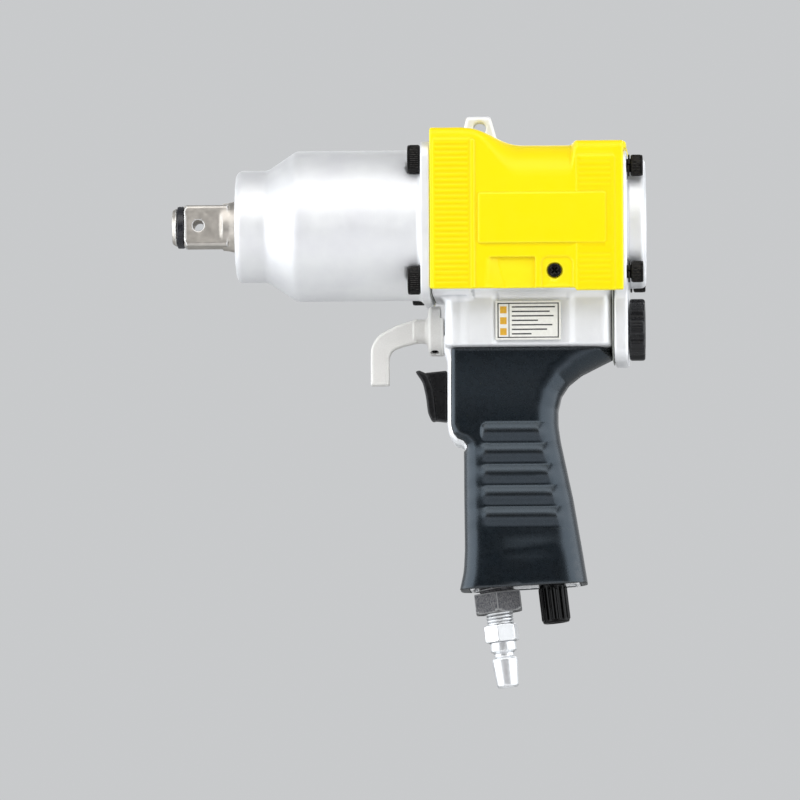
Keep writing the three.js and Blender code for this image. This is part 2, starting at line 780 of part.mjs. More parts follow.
function coverScrew(sign) {
  const seat = COVER_HALF - 1.6;
  const span = (from, to) => [Math.min(sign * from, sign * to), Math.max(sign * from, sign * to)];
  const head = bar("y", COVER_SCREW, COVER_SCREW_RADIUS, ...span(seat + GAP, COVER_HALF + 0.3), 16);
  const shank = bar("y", COVER_SCREW, 2, ...span(29, seat + GAP + 0.1), 10);
  const [x, z] = COVER_SCREW;
  const slot = span(COVER_HALF - 0.6, COVER_HALF + 1);
  const cross = [
    block([x - 2.2, slot[0], z - 0.45], [x + 2.2, slot[1], z + 0.45]),
    block([x - 0.45, slot[0], z - 2.2], [x + 0.45, slot[1], z + 2.2]),
  ];
  return head.add(shank).subtract(cross[0]).subtract(cross[1]);
}

const labelPlate = () => block([149.5, -24.3, -55.2], [179.4, -23.8, -37.3]);

// ---------- assembly ----------

const tool = new THREE.Group();
const handle = new THREE.Group(); // the fittings at the handle's foot, leaned back with the handle
handle.position.copy(INLET);
handle.rotation.y = -HANDLE_RAKE;
tool.add(handle);

function fit(name, look, made, parent = tool) {
  const mesh = new THREE.Mesh(geometryOf(made), FINISH[look]);
  mesh.name = name;
  parent.add(mesh);
}

fit("anvil", "toolSteel", anvil());
fit("socket_retainer_ring", "seal", ringAbout(2.5, 5.7, 8.5, 9.9));
fit("anvil_bushing", "bronze", ringAbout(34.5, 56.9, 12.4, 16));
fit("anvil_seal", "seal", ringAbout(31.3, 33.9, 12.4, 15.1));
fit("hammer_case", "castAluminium", hammerCase());
fit("hammer_cage", "toolSteel", hammerCage());
fit("hammer_front", "toolSteel", hammer(HAMMER_FRONT, 1));
fit("hammer_rear", "toolSteel", hammer(HAMMER_REAR, -1));
fit("hammer_pin_top", "bearingSteel", hammerPin(1));
fit("hammer_pin_bottom", "bearingSteel", hammerPin(-1));
fit("case_gasket", "gasket", caseGasket());
corners(FRONT_BOLTS, FRONT_BOLTS).forEach((corner, i) => {
  fit(`case_screw_${i + 1}`, "blackScrew", caseScrew(corner));
});

fit("motor_housing", "castAluminium", motorHousing());
fit("front_end_plate", "bearingSteel", frontEndPlate());
fit("front_bearing", "bearingSteel", ringAbout(113, 119.2, BEARING.inner, BEARING.outer));
fit("rotor", "toolSteel", rotor());
for (let i = 0; i < VANES; i++) fit(`rotor_vane_${i + 1}`, "phenolic", rotorVane(i));
fit("cylinder_liner", "bearingSteel", cylinderLiner());
fit("liner_dowel_pin", "bearingSteel", linerDowel());
fit("rear_end_plate", "bearingSteel", rearEndPlate());
fit("rear_bearing", "bearingSteel", ringAbout(195.8, 201.6, BEARING.inner, BEARING.outer));
fit("rear_gasket", "gasket", rearGasket());
fit("rear_cover", "castAluminium", rearCover());
corners(...REAR_BOLTS).forEach((corner, i) => {
  fit(`rear_screw_${i + 1}`, "blackScrew", rearScrew(corner));
  fit(`rear_washer_${i + 1}`, "blackScrew", rearWasher(corner));
});

fit("valve_bushing", "bronze", valveBushing());
fit("reverse_valve", "bearingSteel", reverseValve());
fit("reverse_lever", "leverGrey", reverseLever());
fit("lever_set_screw", "blackScrew", leverSetScrew());
fit("regulator_valve", "bearingSteel", regulatorValve());
fit("regulator_knob", "blackPlastic", regulatorKnob());

fit("trigger", "blackPlastic", trigger());
fit("trigger_rod", "bearingSteel", triggerRod());
fit("trigger_bushing", "bronze", triggerBushing());
fit("throttle_seat", "bronze", throttleSeat());
fit("throttle_valve", "bearingSteel", throttleValve());
fit("throttle_spring", "bearingSteel", throttleSpring());

fit("grip_sleeve", "gripRubber", gripSleeve());
fit("inlet_bushing", "inletSteel", inletBushing(), handle);
fit("inlet_strainer", "bronze", inletStrainer(), handle);
fit("hose_nipple", "platedSteel", hoseNipple(), handle);
fit("exhaust_muffler", "blackPlastic", exhaustMuffler(), handle);

fit("motor_cover", "yellow", motorCover());
fit("cover_screw_left", "blackScrew", coverScrew(-1));
fit("cover_screw_right", "blackScrew", coverScrew(1));
fit("label_plate", "label", labelPlate());

export default tool;
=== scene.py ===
"""The looks of a pistol-grip pneumatic impact wrench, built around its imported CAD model.

Each visible piece is a solid written as a signed distance in millimetres, negative inside, and then
turned into a mesh in metres. X runs back along the spindle from the anvil's tip, and +Z is up.
"""
import math

import bmesh
import bpy
import numpy as np
import openvdb
from mathutils import Matrix, Vector


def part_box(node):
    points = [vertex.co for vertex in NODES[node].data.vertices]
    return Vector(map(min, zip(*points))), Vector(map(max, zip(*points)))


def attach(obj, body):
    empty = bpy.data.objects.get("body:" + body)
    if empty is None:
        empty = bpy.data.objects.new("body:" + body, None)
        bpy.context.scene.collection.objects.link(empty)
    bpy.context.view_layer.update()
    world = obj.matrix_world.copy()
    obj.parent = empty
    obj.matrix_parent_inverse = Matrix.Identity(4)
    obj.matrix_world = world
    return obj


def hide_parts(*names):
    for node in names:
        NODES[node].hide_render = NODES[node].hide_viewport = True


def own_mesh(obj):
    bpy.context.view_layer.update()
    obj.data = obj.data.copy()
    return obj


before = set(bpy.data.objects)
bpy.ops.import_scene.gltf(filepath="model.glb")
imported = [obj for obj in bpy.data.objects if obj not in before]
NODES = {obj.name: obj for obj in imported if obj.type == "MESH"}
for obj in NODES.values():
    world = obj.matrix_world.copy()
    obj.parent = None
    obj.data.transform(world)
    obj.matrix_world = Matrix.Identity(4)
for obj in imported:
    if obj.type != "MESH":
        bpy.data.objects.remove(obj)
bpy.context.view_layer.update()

MM = 0.001


def box(node):
    """A CAD node's lowest and highest corner, in millimetres."""
    low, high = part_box(node)
    return low / MM, high / MM


def middle(node):
    low, high = box(node)
    return (low + high) / 2


# ---------- distances ----------


def slab(u, low, high):
    return np.maximum(low - u, u - high)


def rectangle(u, v, low, high, radius=0.0):
    """A rectangle in two coordinates, from one corner to the other, with round corners."""
    over_u = np.abs(u - (low[0] + high[0]) / 2) - (high[0] - low[0]) / 2 + radius
    over_v = np.abs(v - (low[1] + high[1]) / 2) - (high[1] - low[1]) / 2 + radius
    outside = np.hypot(np.maximum(over_u, 0), np.maximum(over_v, 0))
    return outside + np.minimum(np.maximum(over_u, over_v), 0) - radius


def square(u, v, half, radius=0.0):
    return rectangle(u, v, (-half, -half), (half, half), radius)


def hexagon(u, v, flats, turn=0.0):
    """A hexagon of that width across its flats, one flat facing +u when turn is 0."""
    sides = [math.radians(turn + 60 * i) for i in range(3)]
    first, second, third = (np.abs(u * math.cos(a) + v * math.sin(a)) for a in sides)
    return np.maximum(np.maximum(first, second), third) - flats / 2


FAR = 1e9
TINY = 1e-9


def outline(u, v, points):
    """The inside of a closed outline in two coordinates."""
    shape = np.broadcast_shapes(np.shape(u), np.shape(v))
    nearest = np.full(shape, FAR, np.float32)
    inside = np.zeros(shape, bool)
    for (u0, v0), (u1, v1) in zip(points, points[1:] + points[:1]):
        along_u, along_v = u1 - u0, v1 - v0
        length = max(along_u**2 + along_v**2, TINY)
        share = np.clip(((u - u0) * along_u + (v - v0) * along_v) / length, 0, 1)
        off_u, off_v = u - u0 - share * along_u, v - v0 - share * along_v
        nearest = np.minimum(nearest, off_u**2 + off_v**2)
        if v0 != v1:
            inside ^= ((v0 <= v) != (v1 <= v)) & (u < u0 + (v - v0) * along_u / along_v)
    distance = np.sqrt(nearest)
    return np.where(inside, -distance, distance)


def meet(a, b, radius=0.0):
    """What is in both, with a rounded edge between them. The radius may vary over the grid."""
    if np.isscalar(radius) and radius == 0:
        return np.maximum(a, b)
    corner = np.hypot(np.maximum(a + radius, 0), np.maximum(b + radius, 0))
    return np.minimum(np.maximum(a, b), -radius) + corner


def join(a, b, radius=0.0):
    """What is in either, with a fillet between them."""
    return -meet(-a, -b, radius)


def cut(a, b, radius=0.0):
    """What is in a and not in b."""
    return meet(a, -b, radius)


TURNED_STEP = 0.1  # between the radii at which a turned profile is worked out


def turned(x, radius, profile):
    """A solid of revolution about X, from an outline of (x, radius) points."""
    radii = np.arange(0, radius.max() + 2 * TURNED_STEP, TURNED_STEP)
    table = outline(x[:, 0, 0][:, None], radii[None, :], profile).astype(np.float32)
    row = radius[0] / TURNED_STEP
    below = row.astype(np.int32)
    share = (row - below).astype(np.float32)
    return table[:, below] * (1 - share) + table[:, below + 1] * share


def rod(u, v, centre, radius):
    return np.hypot(u - centre[0], v - centre[1]) - radius


def ease(value, low, high):
    """0 below low, 1 above high, and a smooth step between."""
    share = np.clip((value - low) / (high - low), 0, 1)
    return share * share * (3 - 2 * share)


def rounded(points, pieces=7):
    """An outline whose corners given as (u, v, radius) become arcs. A plain (u, v) stays sharp."""
    made = []
    for i, corner in enumerate(points):
        if len(corner) == 2:
            made.append(corner)
            continue
        here = Vector(corner[:2])
        back = (Vector(points[i - 1][:2]) - here).normalized()
        ahead = (Vector(points[(i + 1) % len(points)][:2]) - here).normalized()
        half = back.angle(ahead) / 2
        reach = corner[2] / math.tan(half)
        centre = here + (back + ahead).normalized() * (corner[2] / math.sin(half))
        start, end = here + back * reach - centre, here + ahead * reach - centre
        sweep = start.angle_signed(end)
        for k in range(pieces + 1):
            arm = start.copy()
            arm.rotate(Matrix.Rotation(-sweep * k / pieces, 2))
            made.append(tuple(centre + arm))
    return made


# ---------- meshes ----------


def sampled(field, points):
    """The field at fractional grid places, by linear interpolation."""
    limit = np.array(field.shape) - 2
    base = np.clip(np.floor(points).astype(np.int32), 0, limit)
    share = (points - base).astype(np.float32)
    total = np.zeros(len(points), np.float32)
    for corner in np.ndindex(2, 2, 2):
        weight = np.prod([share[:, k] if corner[k] else 1 - share[:, k] for k in range(3)], axis=0)
        i, j, k = (base + corner).T
        total += weight * field[i, j, k]
    return total


def slopes(field, points, reach):
    """The field's steepest direction at each point, and how much it bends outwards there."""
    rise = np.empty((len(points), 3), np.float32)
    bend = -6 * sampled(field, points)
    for axis in range(3):
        offset = np.zeros(3)
        offset[axis] = reach
        ahead, behind = sampled(field, points + offset), sampled(field, points - offset)
        rise[:, axis] = ahead - behind
        bend += ahead + behind
    rise /= np.maximum(np.linalg.norm(rise, axis=1), TINY)[:, None]
    return rise, bend


def mesh_from(name, points, faces, normals=None, bend=None):
    """A smooth mesh in metres, from points in millimetres and groups of alike faces."""
    mesh = bpy.data.meshes.new(name)
    mesh.vertices.add(len(points))
    mesh.vertices.foreach_set("co", (np.asarray(points) * MM).astype(np.float32).ravel())
    corners = np.concatenate([group.ravel() for group in faces])
    sizes = np.concatenate([np.full(len(group), group.shape[1]) for group in faces])
    starts = np.concatenate([[0], np.cumsum(sizes)[:-1]])
    mesh.loops.add(len(corners))
    mesh.loops.foreach_set("vertex_index", corners.astype(np.int32))
    mesh.polygons.add(len(sizes))
    mesh.polygons.foreach_set("loop_start", starts.astype(np.int32))
    mesh.update(calc_edges=True)
    if bend is not None:
        values = mesh.attributes.new("bend", "FLOAT", "POINT").data
        values.foreach_set("value", bend.astype(np.float32))
    mesh.shade_smooth()
    if normals is not None:
        mesh.normals_split_custom_set_from_vertices(normals.tolist())
    return mesh


MARGIN = 3  # grid cells round a solid's box, and kept on each side of its surface
FLATTEN = 0.02  # how far flat stretches may be merged into larger faces, from 0 to 1


def solid_mesh(name, solid, low, high, step, place=None):
    """Meshes a distance over the box from low to high. A place, if given, moves the result."""
    band = MARGIN * step
    low, high = np.array(low, float) - band, np.array(high, float) + band
    axes = [np.arange(low[k], high[k], step, dtype=np.float32) for k in range(3)]
    x, y, z = axes[0][:, None, None], axes[1][None, :, None], axes[2][None, None, :]
    shape = tuple(len(a) for a in axes)
    field = np.clip(np.broadcast_to(solid(x, y, z), shape), -band, band).astype(np.float32)
    volume = openvdb.FloatGrid(band)
    volume.copyFromArray(field)
    points, triangles, quads = volume.convertToPolygons(0.0, FLATTEN)
    normals, bend = slopes(field, points, 1.0)
    points = points * step + low
    if place is not None:
        turn = np.array(place.to_3x3())
        points = points @ turn.T + np.array(place.translation)
        normals = normals @ turn.T
    faces = [group for group in (triangles, quads) if len(group)]
    return mesh_from(name, points, faces, normals, bend / step**2)


def added(name, data):
    """A new object in the scene."""
    made = bpy.data.objects.new(name, data)
    bpy.context.scene.collection.objects.link(made)
    return made


def piece(name, mesh, look, body, replaced=()):
    """A finished piece: a mesh object that rides on a body and stands for CAD nodes."""
    made = added(name, mesh)
    if look.name not in mesh.materials:
        mesh.materials.append(look)
    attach(made, body)
    if replaced:
        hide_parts(*replaced)
    return made


# ---------- materials ----------


class Tree:
    """The shader nodes of a material or a world."""

    def __init__(self, owner):
        owner.use_nodes = True
        self.tree = owner.node_tree

    def node(self, kind, **values):
        made = self.tree.nodes.new(kind)
        for key, value in values.items():
            setattr(made, key, value)
        return made

    def feed(self, socket, value):
        if isinstance(value, bpy.types.NodeSocket):
            self.tree.links.new(value, socket)
        else:
            socket.default_value = value

    def ranged(self, value, low, high, out_low, out_high, **values):
        made = self.node("ShaderNodeMapRange", **values)
        for socket, number in zip(made.inputs, (value, low, high, out_low, out_high)):
            self.feed(socket, number)
        return made.outputs["Result"]

    def math(self, operation, *values):
        made = self.node("ShaderNodeMath", operation=operation)
        for socket, value in zip(made.inputs, values):
            self.feed(socket, value)
        return made.outputs["Value"]


class Look(Tree):
    """A procedural material being built on the object's own coordinates."""

    def __init__(self, name, color, roughness, metallic=0.0, **sockets):
        self.material = bpy.data.materials.new(name)
        super().__init__(self.material)
        self.shader = self.tree.nodes["Principled BSDF"]
        self.place = self.node("ShaderNodeTexCoord").outputs["Object"]
        self.shader.inputs["Metallic"].default_value = metallic
        for socket, value in sockets.items():
            self.shader.inputs[socket.replace("_", " ")].default_value = value
        self.color = (*color, 1)
        self.roughness = roughness
        self.normal = None

    def noise(self, size, detail=3.0, stretch=(1, 1, 1), contrast=0.35):
        """Noise of that size in millimetres, from 0 to 1. Stretch divides it along each axis."""
        mapping = self.node("ShaderNodeMapping")
        self.feed(mapping.inputs["Vector"], self.place)
        mapping.inputs["Scale"].default_value = stretch
        texture = self.node("ShaderNodeTexNoise")
        self.feed(texture.inputs["Vector"], mapping.outputs["Vector"])
        texture.inputs["Scale"].default_value = 1 / (size * MM)
        texture.inputs["Detail"].default_value = detail
        return self.ranged(texture.outputs["Fac"], 0.5 - contrast / 2, 0.5 + contrast / 2, 0, 1)

    def bend(self, low, high):
        """0 to 1 as the outward bend, in 1/mm, goes from low to high. It's negative in hollows."""
        attribute = self.node("ShaderNodeAttribute", attribute_name="bend")
        return self.ranged(attribute.outputs["Fac"], low, high, 0, 1)

    def mask(self, given):
        """The socket given, or one made from ("bend", low, high) or from noise's arguments."""
        if not isinstance(given, tuple):
            return given
        return self.bend(*given[1:]) if given[0] == "bend" else self.noise(*given)

    def tint(self, mask, color):
        """Mixes the base colour towards another one by the mask."""
        mix = self.node("ShaderNodeMix", data_type="RGBA")
        share, from_color, to_color = (mix.inputs[i] for i in (0, 6, 7))
        self.feed(share, self.mask(mask))
        self.feed(from_color, self.color)
        self.feed(to_color, (*color, 1))
        self.color = mix.outputs[2]
        return self

    def roughen(self, mask, amount):
        """Adds up to that amount of roughness by the mask."""
        added_part = self.math("MULTIPLY", self.mask(mask), amount)
        self.roughness = self.math("ADD", self.roughness, added_part)
        return self

    def emboss(self, height, depth):
        """Raises the surface by up to that depth in millimetres."""
        bump = self.node("ShaderNodeBump")
        bump.inputs["Distance"].default_value = depth * MM
        self.feed(bump.inputs["Height"], self.mask(height))
        if self.normal is not None:
            self.feed(bump.inputs["Normal"], self.normal)
        self.normal = bump.outputs["Normal"]
        return self

    def done(self):
        ends = {"Base Color": self.color, "Roughness": self.roughness, "Normal": self.normal}
        for socket, value in ends.items():
            if value is not None:
                self.feed(self.shader.inputs[socket], value)
        return self.material


def turned_aluminium():
    look = Look("turned_aluminium", (0.87, 0.87, 0.89), 0.48, 0.64)
    rings = look.noise(0.5, 2, (1, 0.004, 0.004))
    look.tint((14, 4), (0.93, 0.935, 0.94))
    look.roughen((5, 5), 0.09).roughen(rings, 0.05)
    look.emboss(rings, 0.006).emboss((0.22, 2), 0.004)
    return look.done()


def machined_steel(name="machined_steel", color=(0.54, 0.505, 0.46), roughness=0.34):
    look = Look(name, color, roughness, 1.0)
    look.tint((4, 5), tuple(min(c * 1.2, 1) for c in color))
    look.tint(look.bend(0.4, 1.4), (0.78, 0.77, 0.75))
    scratches = look.noise(0.25, 2, (0.06, 1, 1))
    look.roughen(scratches, 0.1).roughen((2, 4), 0.1)
    look.emboss(scratches, 0.005)
    return look.done()


def black_oxide():
    look = Look("black_oxide", (0.002, 0.002, 0.002), 0.26, Specular_IOR_Level=0.12)
    look.tint((1.5, 5), (0.005, 0.004, 0.004))
    look.tint(look.math("MULTIPLY", look.bend(1.0, 3.4), look.noise(0.8, 3)), (0.07, 0.066, 0.062))
    look.roughen((0.8, 4), 0.16)
    look.emboss((0.3, 3), 0.01)
    return look.done()


def grip_rubber():
    look = Look("grip_rubber", (0.001, 0.002, 0.003), 0.25, Specular_IOR_Level=0.8)
    look.shader.inputs["Specular Tint"].default_value = (0.72, 0.86, 1, 1)
    look.tint((7, 5), (0.001, 0.003, 0.005))
    # Painted highlight: the grip's rounded corners and ridge tops are lightened, as bands of light.
    look.tint(look.bend(0.1, 0.8), (0.02, 0.019, 0.018))
    look.roughen((2.5, 4), 0.05)
    look.emboss((0.35, 3), 0.012)
    return look.done()


def plain_sheet(name, color, other, grain, roughness=0.6):
    """Gasket, seal, vane or label stock: a matt sheet with a speckle of a second colour."""
    look = Look(name, color, roughness)
    look.tint(look.noise(grain, 4, contrast=0.3), other)
    look.roughen((grain * 2, 3), 0.15)
    look.emboss((grain, 4), 0.02)
    return look.done()


TURNED = turned_aluminium()
CAST = (
    Look("cast_aluminium", (0.90, 0.905, 0.92), 0.4, 0.42)
    .tint((9, 5), (0.92, 0.925, 0.94))
    # Painted shade: hollows and creases are darkened to a mid grey.
    .tint(("bend", -0.25, -0.9), (0.45, 0.46, 0.48))
    .tint(("bend", 0.3, 1.1), (0.95, 0.95, 0.96))
    .roughen((3, 5), 0.12)
    .emboss((0.45, 4), 0.02).emboss((2.5, 3), 0.02)
    .done()
)
TOOL_STEEL = machined_steel()
BEARING_STEEL = machined_steel("bearing_steel", (0.62, 0.63, 0.65), 0.2)
BRONZE = (
    Look("bronze", (0.62, 0.38, 0.16), 0.32, 1.0)
    .tint((3, 5), (0.5, 0.29, 0.12))
    .roughen((1.2, 4), 0.15)
    .emboss((0.3, 3, (1, 0.02, 0.02)), 0.01)
    .done()
)
OXIDE = black_oxide()
YELLOW = (
    Look("yellow_moulding", (1.0, 0.79, 0.0), 0.3, Specular_IOR_Level=0.25)
    .tint((24, 4), (1.0, 0.80, 0.0))
    # Painted shade: rib valleys and other hollows are darkened towards orange.
    .tint(("bend", -0.3, -1.2), (0.93, 0.71, 0.0))
    .tint(("bend", 0.25, 1.0), (1.0, 0.86, 0.02))
    .roughen((6, 5), 0.1)
    .emboss((0.9, 3), 0.007).emboss((0.2, 2), 0.003)
    .done()
)
RUBBER = grip_rubber()
PLASTIC = (
    Look("black_plastic", (0.004, 0.004, 0.005), 0.24, Specular_IOR_Level=0.35)
    .tint((4, 4), (0.008, 0.008, 0.009))
    .tint(("bend", 0.4, 1.6), (0.02, 0.02, 0.022))
    .roughen((1.5, 4), 0.14)
    .emboss((0.4, 3), 0.012)
    .done()
)
MUFFLER = (
    Look("muffler_black", (0.001, 0.001, 0.001), 0.08, Specular_IOR_Level=0.16)
    .tint((3, 4), (0.002, 0.002, 0.002))
    .roughen((1.2, 4), 0.1)
    .emboss((0.8, 3), 0.006)
    .done()
)
LEVER = (
    Look("lever_grey", (0.78, 0.765, 0.735), 0.42, 0.1)
    .tint((6, 5), (0.82, 0.805, 0.775))
    .tint((0.5, 3, (1, 1, 1), 0.6), (0.70, 0.685, 0.655))
    .tint(("bend", 0.3, 1.2), (0.86, 0.85, 0.81))
    .roughen((2, 4), 0.12)
    .emboss((0.4, 4), 0.02)
    .done()
)
INLET_STEEL = (
    Look("inlet_steel", (0.06, 0.062, 0.07), 0.5, 0.8)
    .tint((0.6, 4, (1, 1, 1), 0.25), (0.16, 0.155, 0.155))
    .tint(("bend", 0.4, 1.8), (0.3, 0.3, 0.3))
    .roughen((1, 4), 0.15)
    .emboss((0.4, 4), 0.03)
    .done()
)
PLATED = (
    Look("plated_steel", (0.90, 0.91, 0.92), 0.3, 0.85)
    # Painted shade: the grooves and thread roots are darkened.
    .tint(("bend", -0.4, -2.0), (0.35, 0.36, 0.38))
    .roughen((1.5, 4), 0.12)
    .emboss((0.5, 3), 0.006)
    .done()
)
VANE = plain_sheet("vane_composite", (0.20, 0.10, 0.045), (0.12, 0.06, 0.03), 0.6)
GASKET = plain_sheet("gasket_fibre", (0.42, 0.43, 0.40), (0.30, 0.31, 0.29), 0.4, 0.75)
SEAL = plain_sheet("seal_rubber", (0.008, 0.009, 0.014), (0.016, 0.017, 0.022), 0.5, 0.22)
LABEL = plain_sheet("label_stock", (0.86, 0.85, 0.80), (0.80, 0.79, 0.74), 1.5, 0.35)
INK = plain_sheet("label_ink", (0.02, 0.02, 0.02), (0.05, 0.05, 0.05), 0.5, 0.4)
AMBER = plain_sheet("label_amber", (0.75, 0.42, 0.03), (0.66, 0.36, 0.03), 0.8, 0.4)

# ---------- driving places, from the frame ----------

case_low, case_high = box("hammer_case")
housing_low, housing_high = box("motor_housing")
cover_low, cover_high = box("motor_cover")
plate_low, plate_high = box("rear_cover")
valve = middle("reverse_valve")
front_bolts = [middle(f"case_screw_{i}") for i in (1, 2, 3, 4)]
rear_bolts = [middle(f"rear_screw_{i}") for i in (1, 2, 3, 4)]
rod_centre = middle("trigger_rod")
screw_centre = middle("cover_screw_left")

# ---------- hammer case ----------

CASE_RADIUS = 34.7
CASE_BORE = 31.2
NOSE_RADIUS = 25.8
NOSE_BORE = 12.8
BUSHING_SEAT = 15.4
BUSHING_ROOM = 16.3
FLANGE_FRONT = 115.6
FLANGE_CORNER = 8
FLANGE_HOLE = 33  # ends inside the shell's wall
CASE_SCREW_ROOM = 6.7  # radius of the pocket round each case screw's head


def hammer_case(x, y, z):
    radius = np.hypot(y, z)
    nose, back, half = case_low.x, case_high.x, case_high.y
    profile = rounded([
        (nose, NOSE_BORE), (nose, NOSE_RADIUS, 3.2), (44.2, NOSE_RADIUS, 5),
        (57.6, CASE_RADIUS, 6), (back, CASE_RADIUS), (back, CASE_BORE), (60, CASE_BORE),
        (57, 27), (57, BUSHING_ROOM), (34.2, BUSHING_ROOM), (34.2, BUSHING_SEAT),
        (31, BUSHING_SEAT), (31, NOSE_BORE),
    ])
    shell = turned(x, radius, profile)
    face = square(y, z, half, FLANGE_CORNER)
    flange = meet(face, slab(x, FLANGE_FRONT, back), 0.7)
    made = join(shell, cut(flange, radius - FLANGE_HOLE), 2.2)
    for bolt in front_bolts:
        head = rod(y, z, bolt.yz, CASE_SCREW_ROOM)
        made = cut(made, meet(head, slab(x, 109.4, FLANGE_FRONT), 0.3), 0.2)
        made = cut(made, head + 2.4)
    made = meet(made, x - back)
    rim = meet(face, slab(x, back - 0.6, back + 0.4), 0.3)
    return join(made, cut(rim, square(y, z, 34.9, 7)))


# ---------- anvil and its retainer ring ----------

ANVIL_HALF = 19.05 / 2
SHAFT_RADIUS = 12
PIN_HOLE_X = 12.4
PIN_HOLE_RADIUS = 2.5


def anvil(x, y, z):
    radius = np.hypot(y, z)
    high = box("anvil")[1].x
    drive = meet(square(y, z, ANVIL_HALF, 1.6), slab(x, 0, 26), 0.5)
    tip = turned(x, radius, rounded([
        (-5, 0), (0, 0), (0, 7.6, 1.5), (2.2, 9.0), (2.2, 8.2), (5.9, 8.2), (5.9, 11.4, 0.8),
        (7.4, 13.4), (60, 13.4), (60, 0),
    ]))
    made = meet(drive, tip)
    shaft = turned(x, radius, rounded([
        (23.2, 0), (23.2, 10.9, 0.8), (26.4, 11.2, 5), (29.4, SHAFT_RADIUS),
        (57.2, SHAFT_RADIUS), (57.2, 15), (60, 15), (60, 12.7), (66, 12.7), (66, 10),
        (95.4, 10), (95.4, 7), (high, 7, 1), (high, 0),
    ]))
    made = join(made, shaft, 1.4)
    jaws = ((66.8, 79.4, -15.6, 0), (82.2, 94.8, 0, 15.6))
    for low_x, high_x, low_z, high_z in jaws:
        jaw = rectangle(y, z, (-3.8, low_z), (3.8, high_z), 0.8)
        made = join(made, meet(jaw, slab(x, low_x, high_x), 0.5), 0.6)
    return cut(made, rod(x, z, (PIN_HOLE_X, 0), PIN_HOLE_RADIUS), 0.45)


def retainer_ring(x, y, z):
    radius = np.hypot(y, z)
    low, high = box("socket_retainer_ring")
    section = rectangle(x, radius, (low.x, 8.45), (high.x, 9.75), 0.6)
    gap = rectangle(y, z, (-0.5, -12), (0.5, 0))
    return cut(section, gap, 0.2)


# ---------- cap screws and washers ----------

KNURLS = 44
KNURL_DEPTH = 0.13


def cap_screw(head_radius, head_length, shank_radius, end):
    """A socket-head cap screw along X, its head's outer face at 0 and its shank reaching to end."""

    def solid(x, y, z):
        radius = np.hypot(y, z)
        angle = np.arctan2(z, y)
        knurled = ease(x, 0.9, 1.5) * (1 - ease(x, head_length - 0.9, head_length - 0.4))
        ridges = np.cos(angle * KNURLS) * KNURL_DEPTH * knurled
        head = meet(radius - head_radius + KNURL_DEPTH + ridges, slab(x, 0, head_length), 0.7)
        shank = meet(radius - shank_radius, slab(x, head_length - 0.5, end), 0.5)
        made = join(head, shank, 0.4)
        socket = meet(hexagon(y, z, head_radius * 0.92), slab(x, -1, head_length * 0.55))
        bevel = radius - head_radius * 0.5 + np.maximum(x, 0)
        return cut(cut(made, socket, 0.15), meet(bevel, x - 2), 0.1)

    low = (0, -head_radius, -head_radius)
    return solid_mesh("cap_screw", solid, low, (end, head_radius, head_radius), 0.2)


def at_bolts(name, mesh, bolts, x, node):
    """One piece at each bolt's place, with its mesh's zero at that x."""
    for i, bolt in enumerate(bolts, 1):
        made = piece(f"{name}_{i}", mesh, OXIDE, "housing", [f"{node}_{i}"])
        made.location = (x * MM, bolt.y * MM, bolt.z * MM)


def build_screws():
    low, high = box("case_screw_1")
    front = cap_screw(6.5, 5.7, 4, high.x - low.x)
    at_bolts("case_cap_screw", front, front_bolts, low.x, "case_screw")
    low, high = box("rear_screw_1")
    rear = cap_screw(5, 5.6, 3, high.x - low.x)
    rear.transform(Matrix.Translation((high.x * MM, 0, 0)) @ Matrix.Rotation(math.pi, 4, "Z"))
    at_bolts("rear_cap_screw", rear, rear_bolts, 0, "rear_screw")
    low, high = box("rear_washer_1")

    def washer(x, y, z):
        twist = np.arctan2(z, y) * 0.05
        ring = rectangle(x - twist, np.hypot(y, z), (low.x + 0.17, 3.4), (high.x - 0.17, 5), 0.25)
        split = rectangle(y + x - low.x, z, (-5.6, -0.5), (0, 0.5))
        return cut(ring, split)

    mesh = solid_mesh("spring_washer", washer, (low.x, -5, -5), (high.x, 5, 5), 0.15)
    at_bolts("spring_washer", mesh, rear_bolts, 0, "rear_washer")


# ---------- motor housing ----------

BARREL_STEP = 138  # the barrel is taller and wider in front of this
MOTOR_BORE = 31.1
NECK_HALF = 23.5
CORE_HALF = 14
CORE_WALL = 1.7
HANDLE_TOP = -57.6
LUG_HALF = 4.5
LUG_HOLE_RADIUS = 3
CASE_SCREW_HOLE = 4.3
REAR_SCREW_HOLE = 3.3


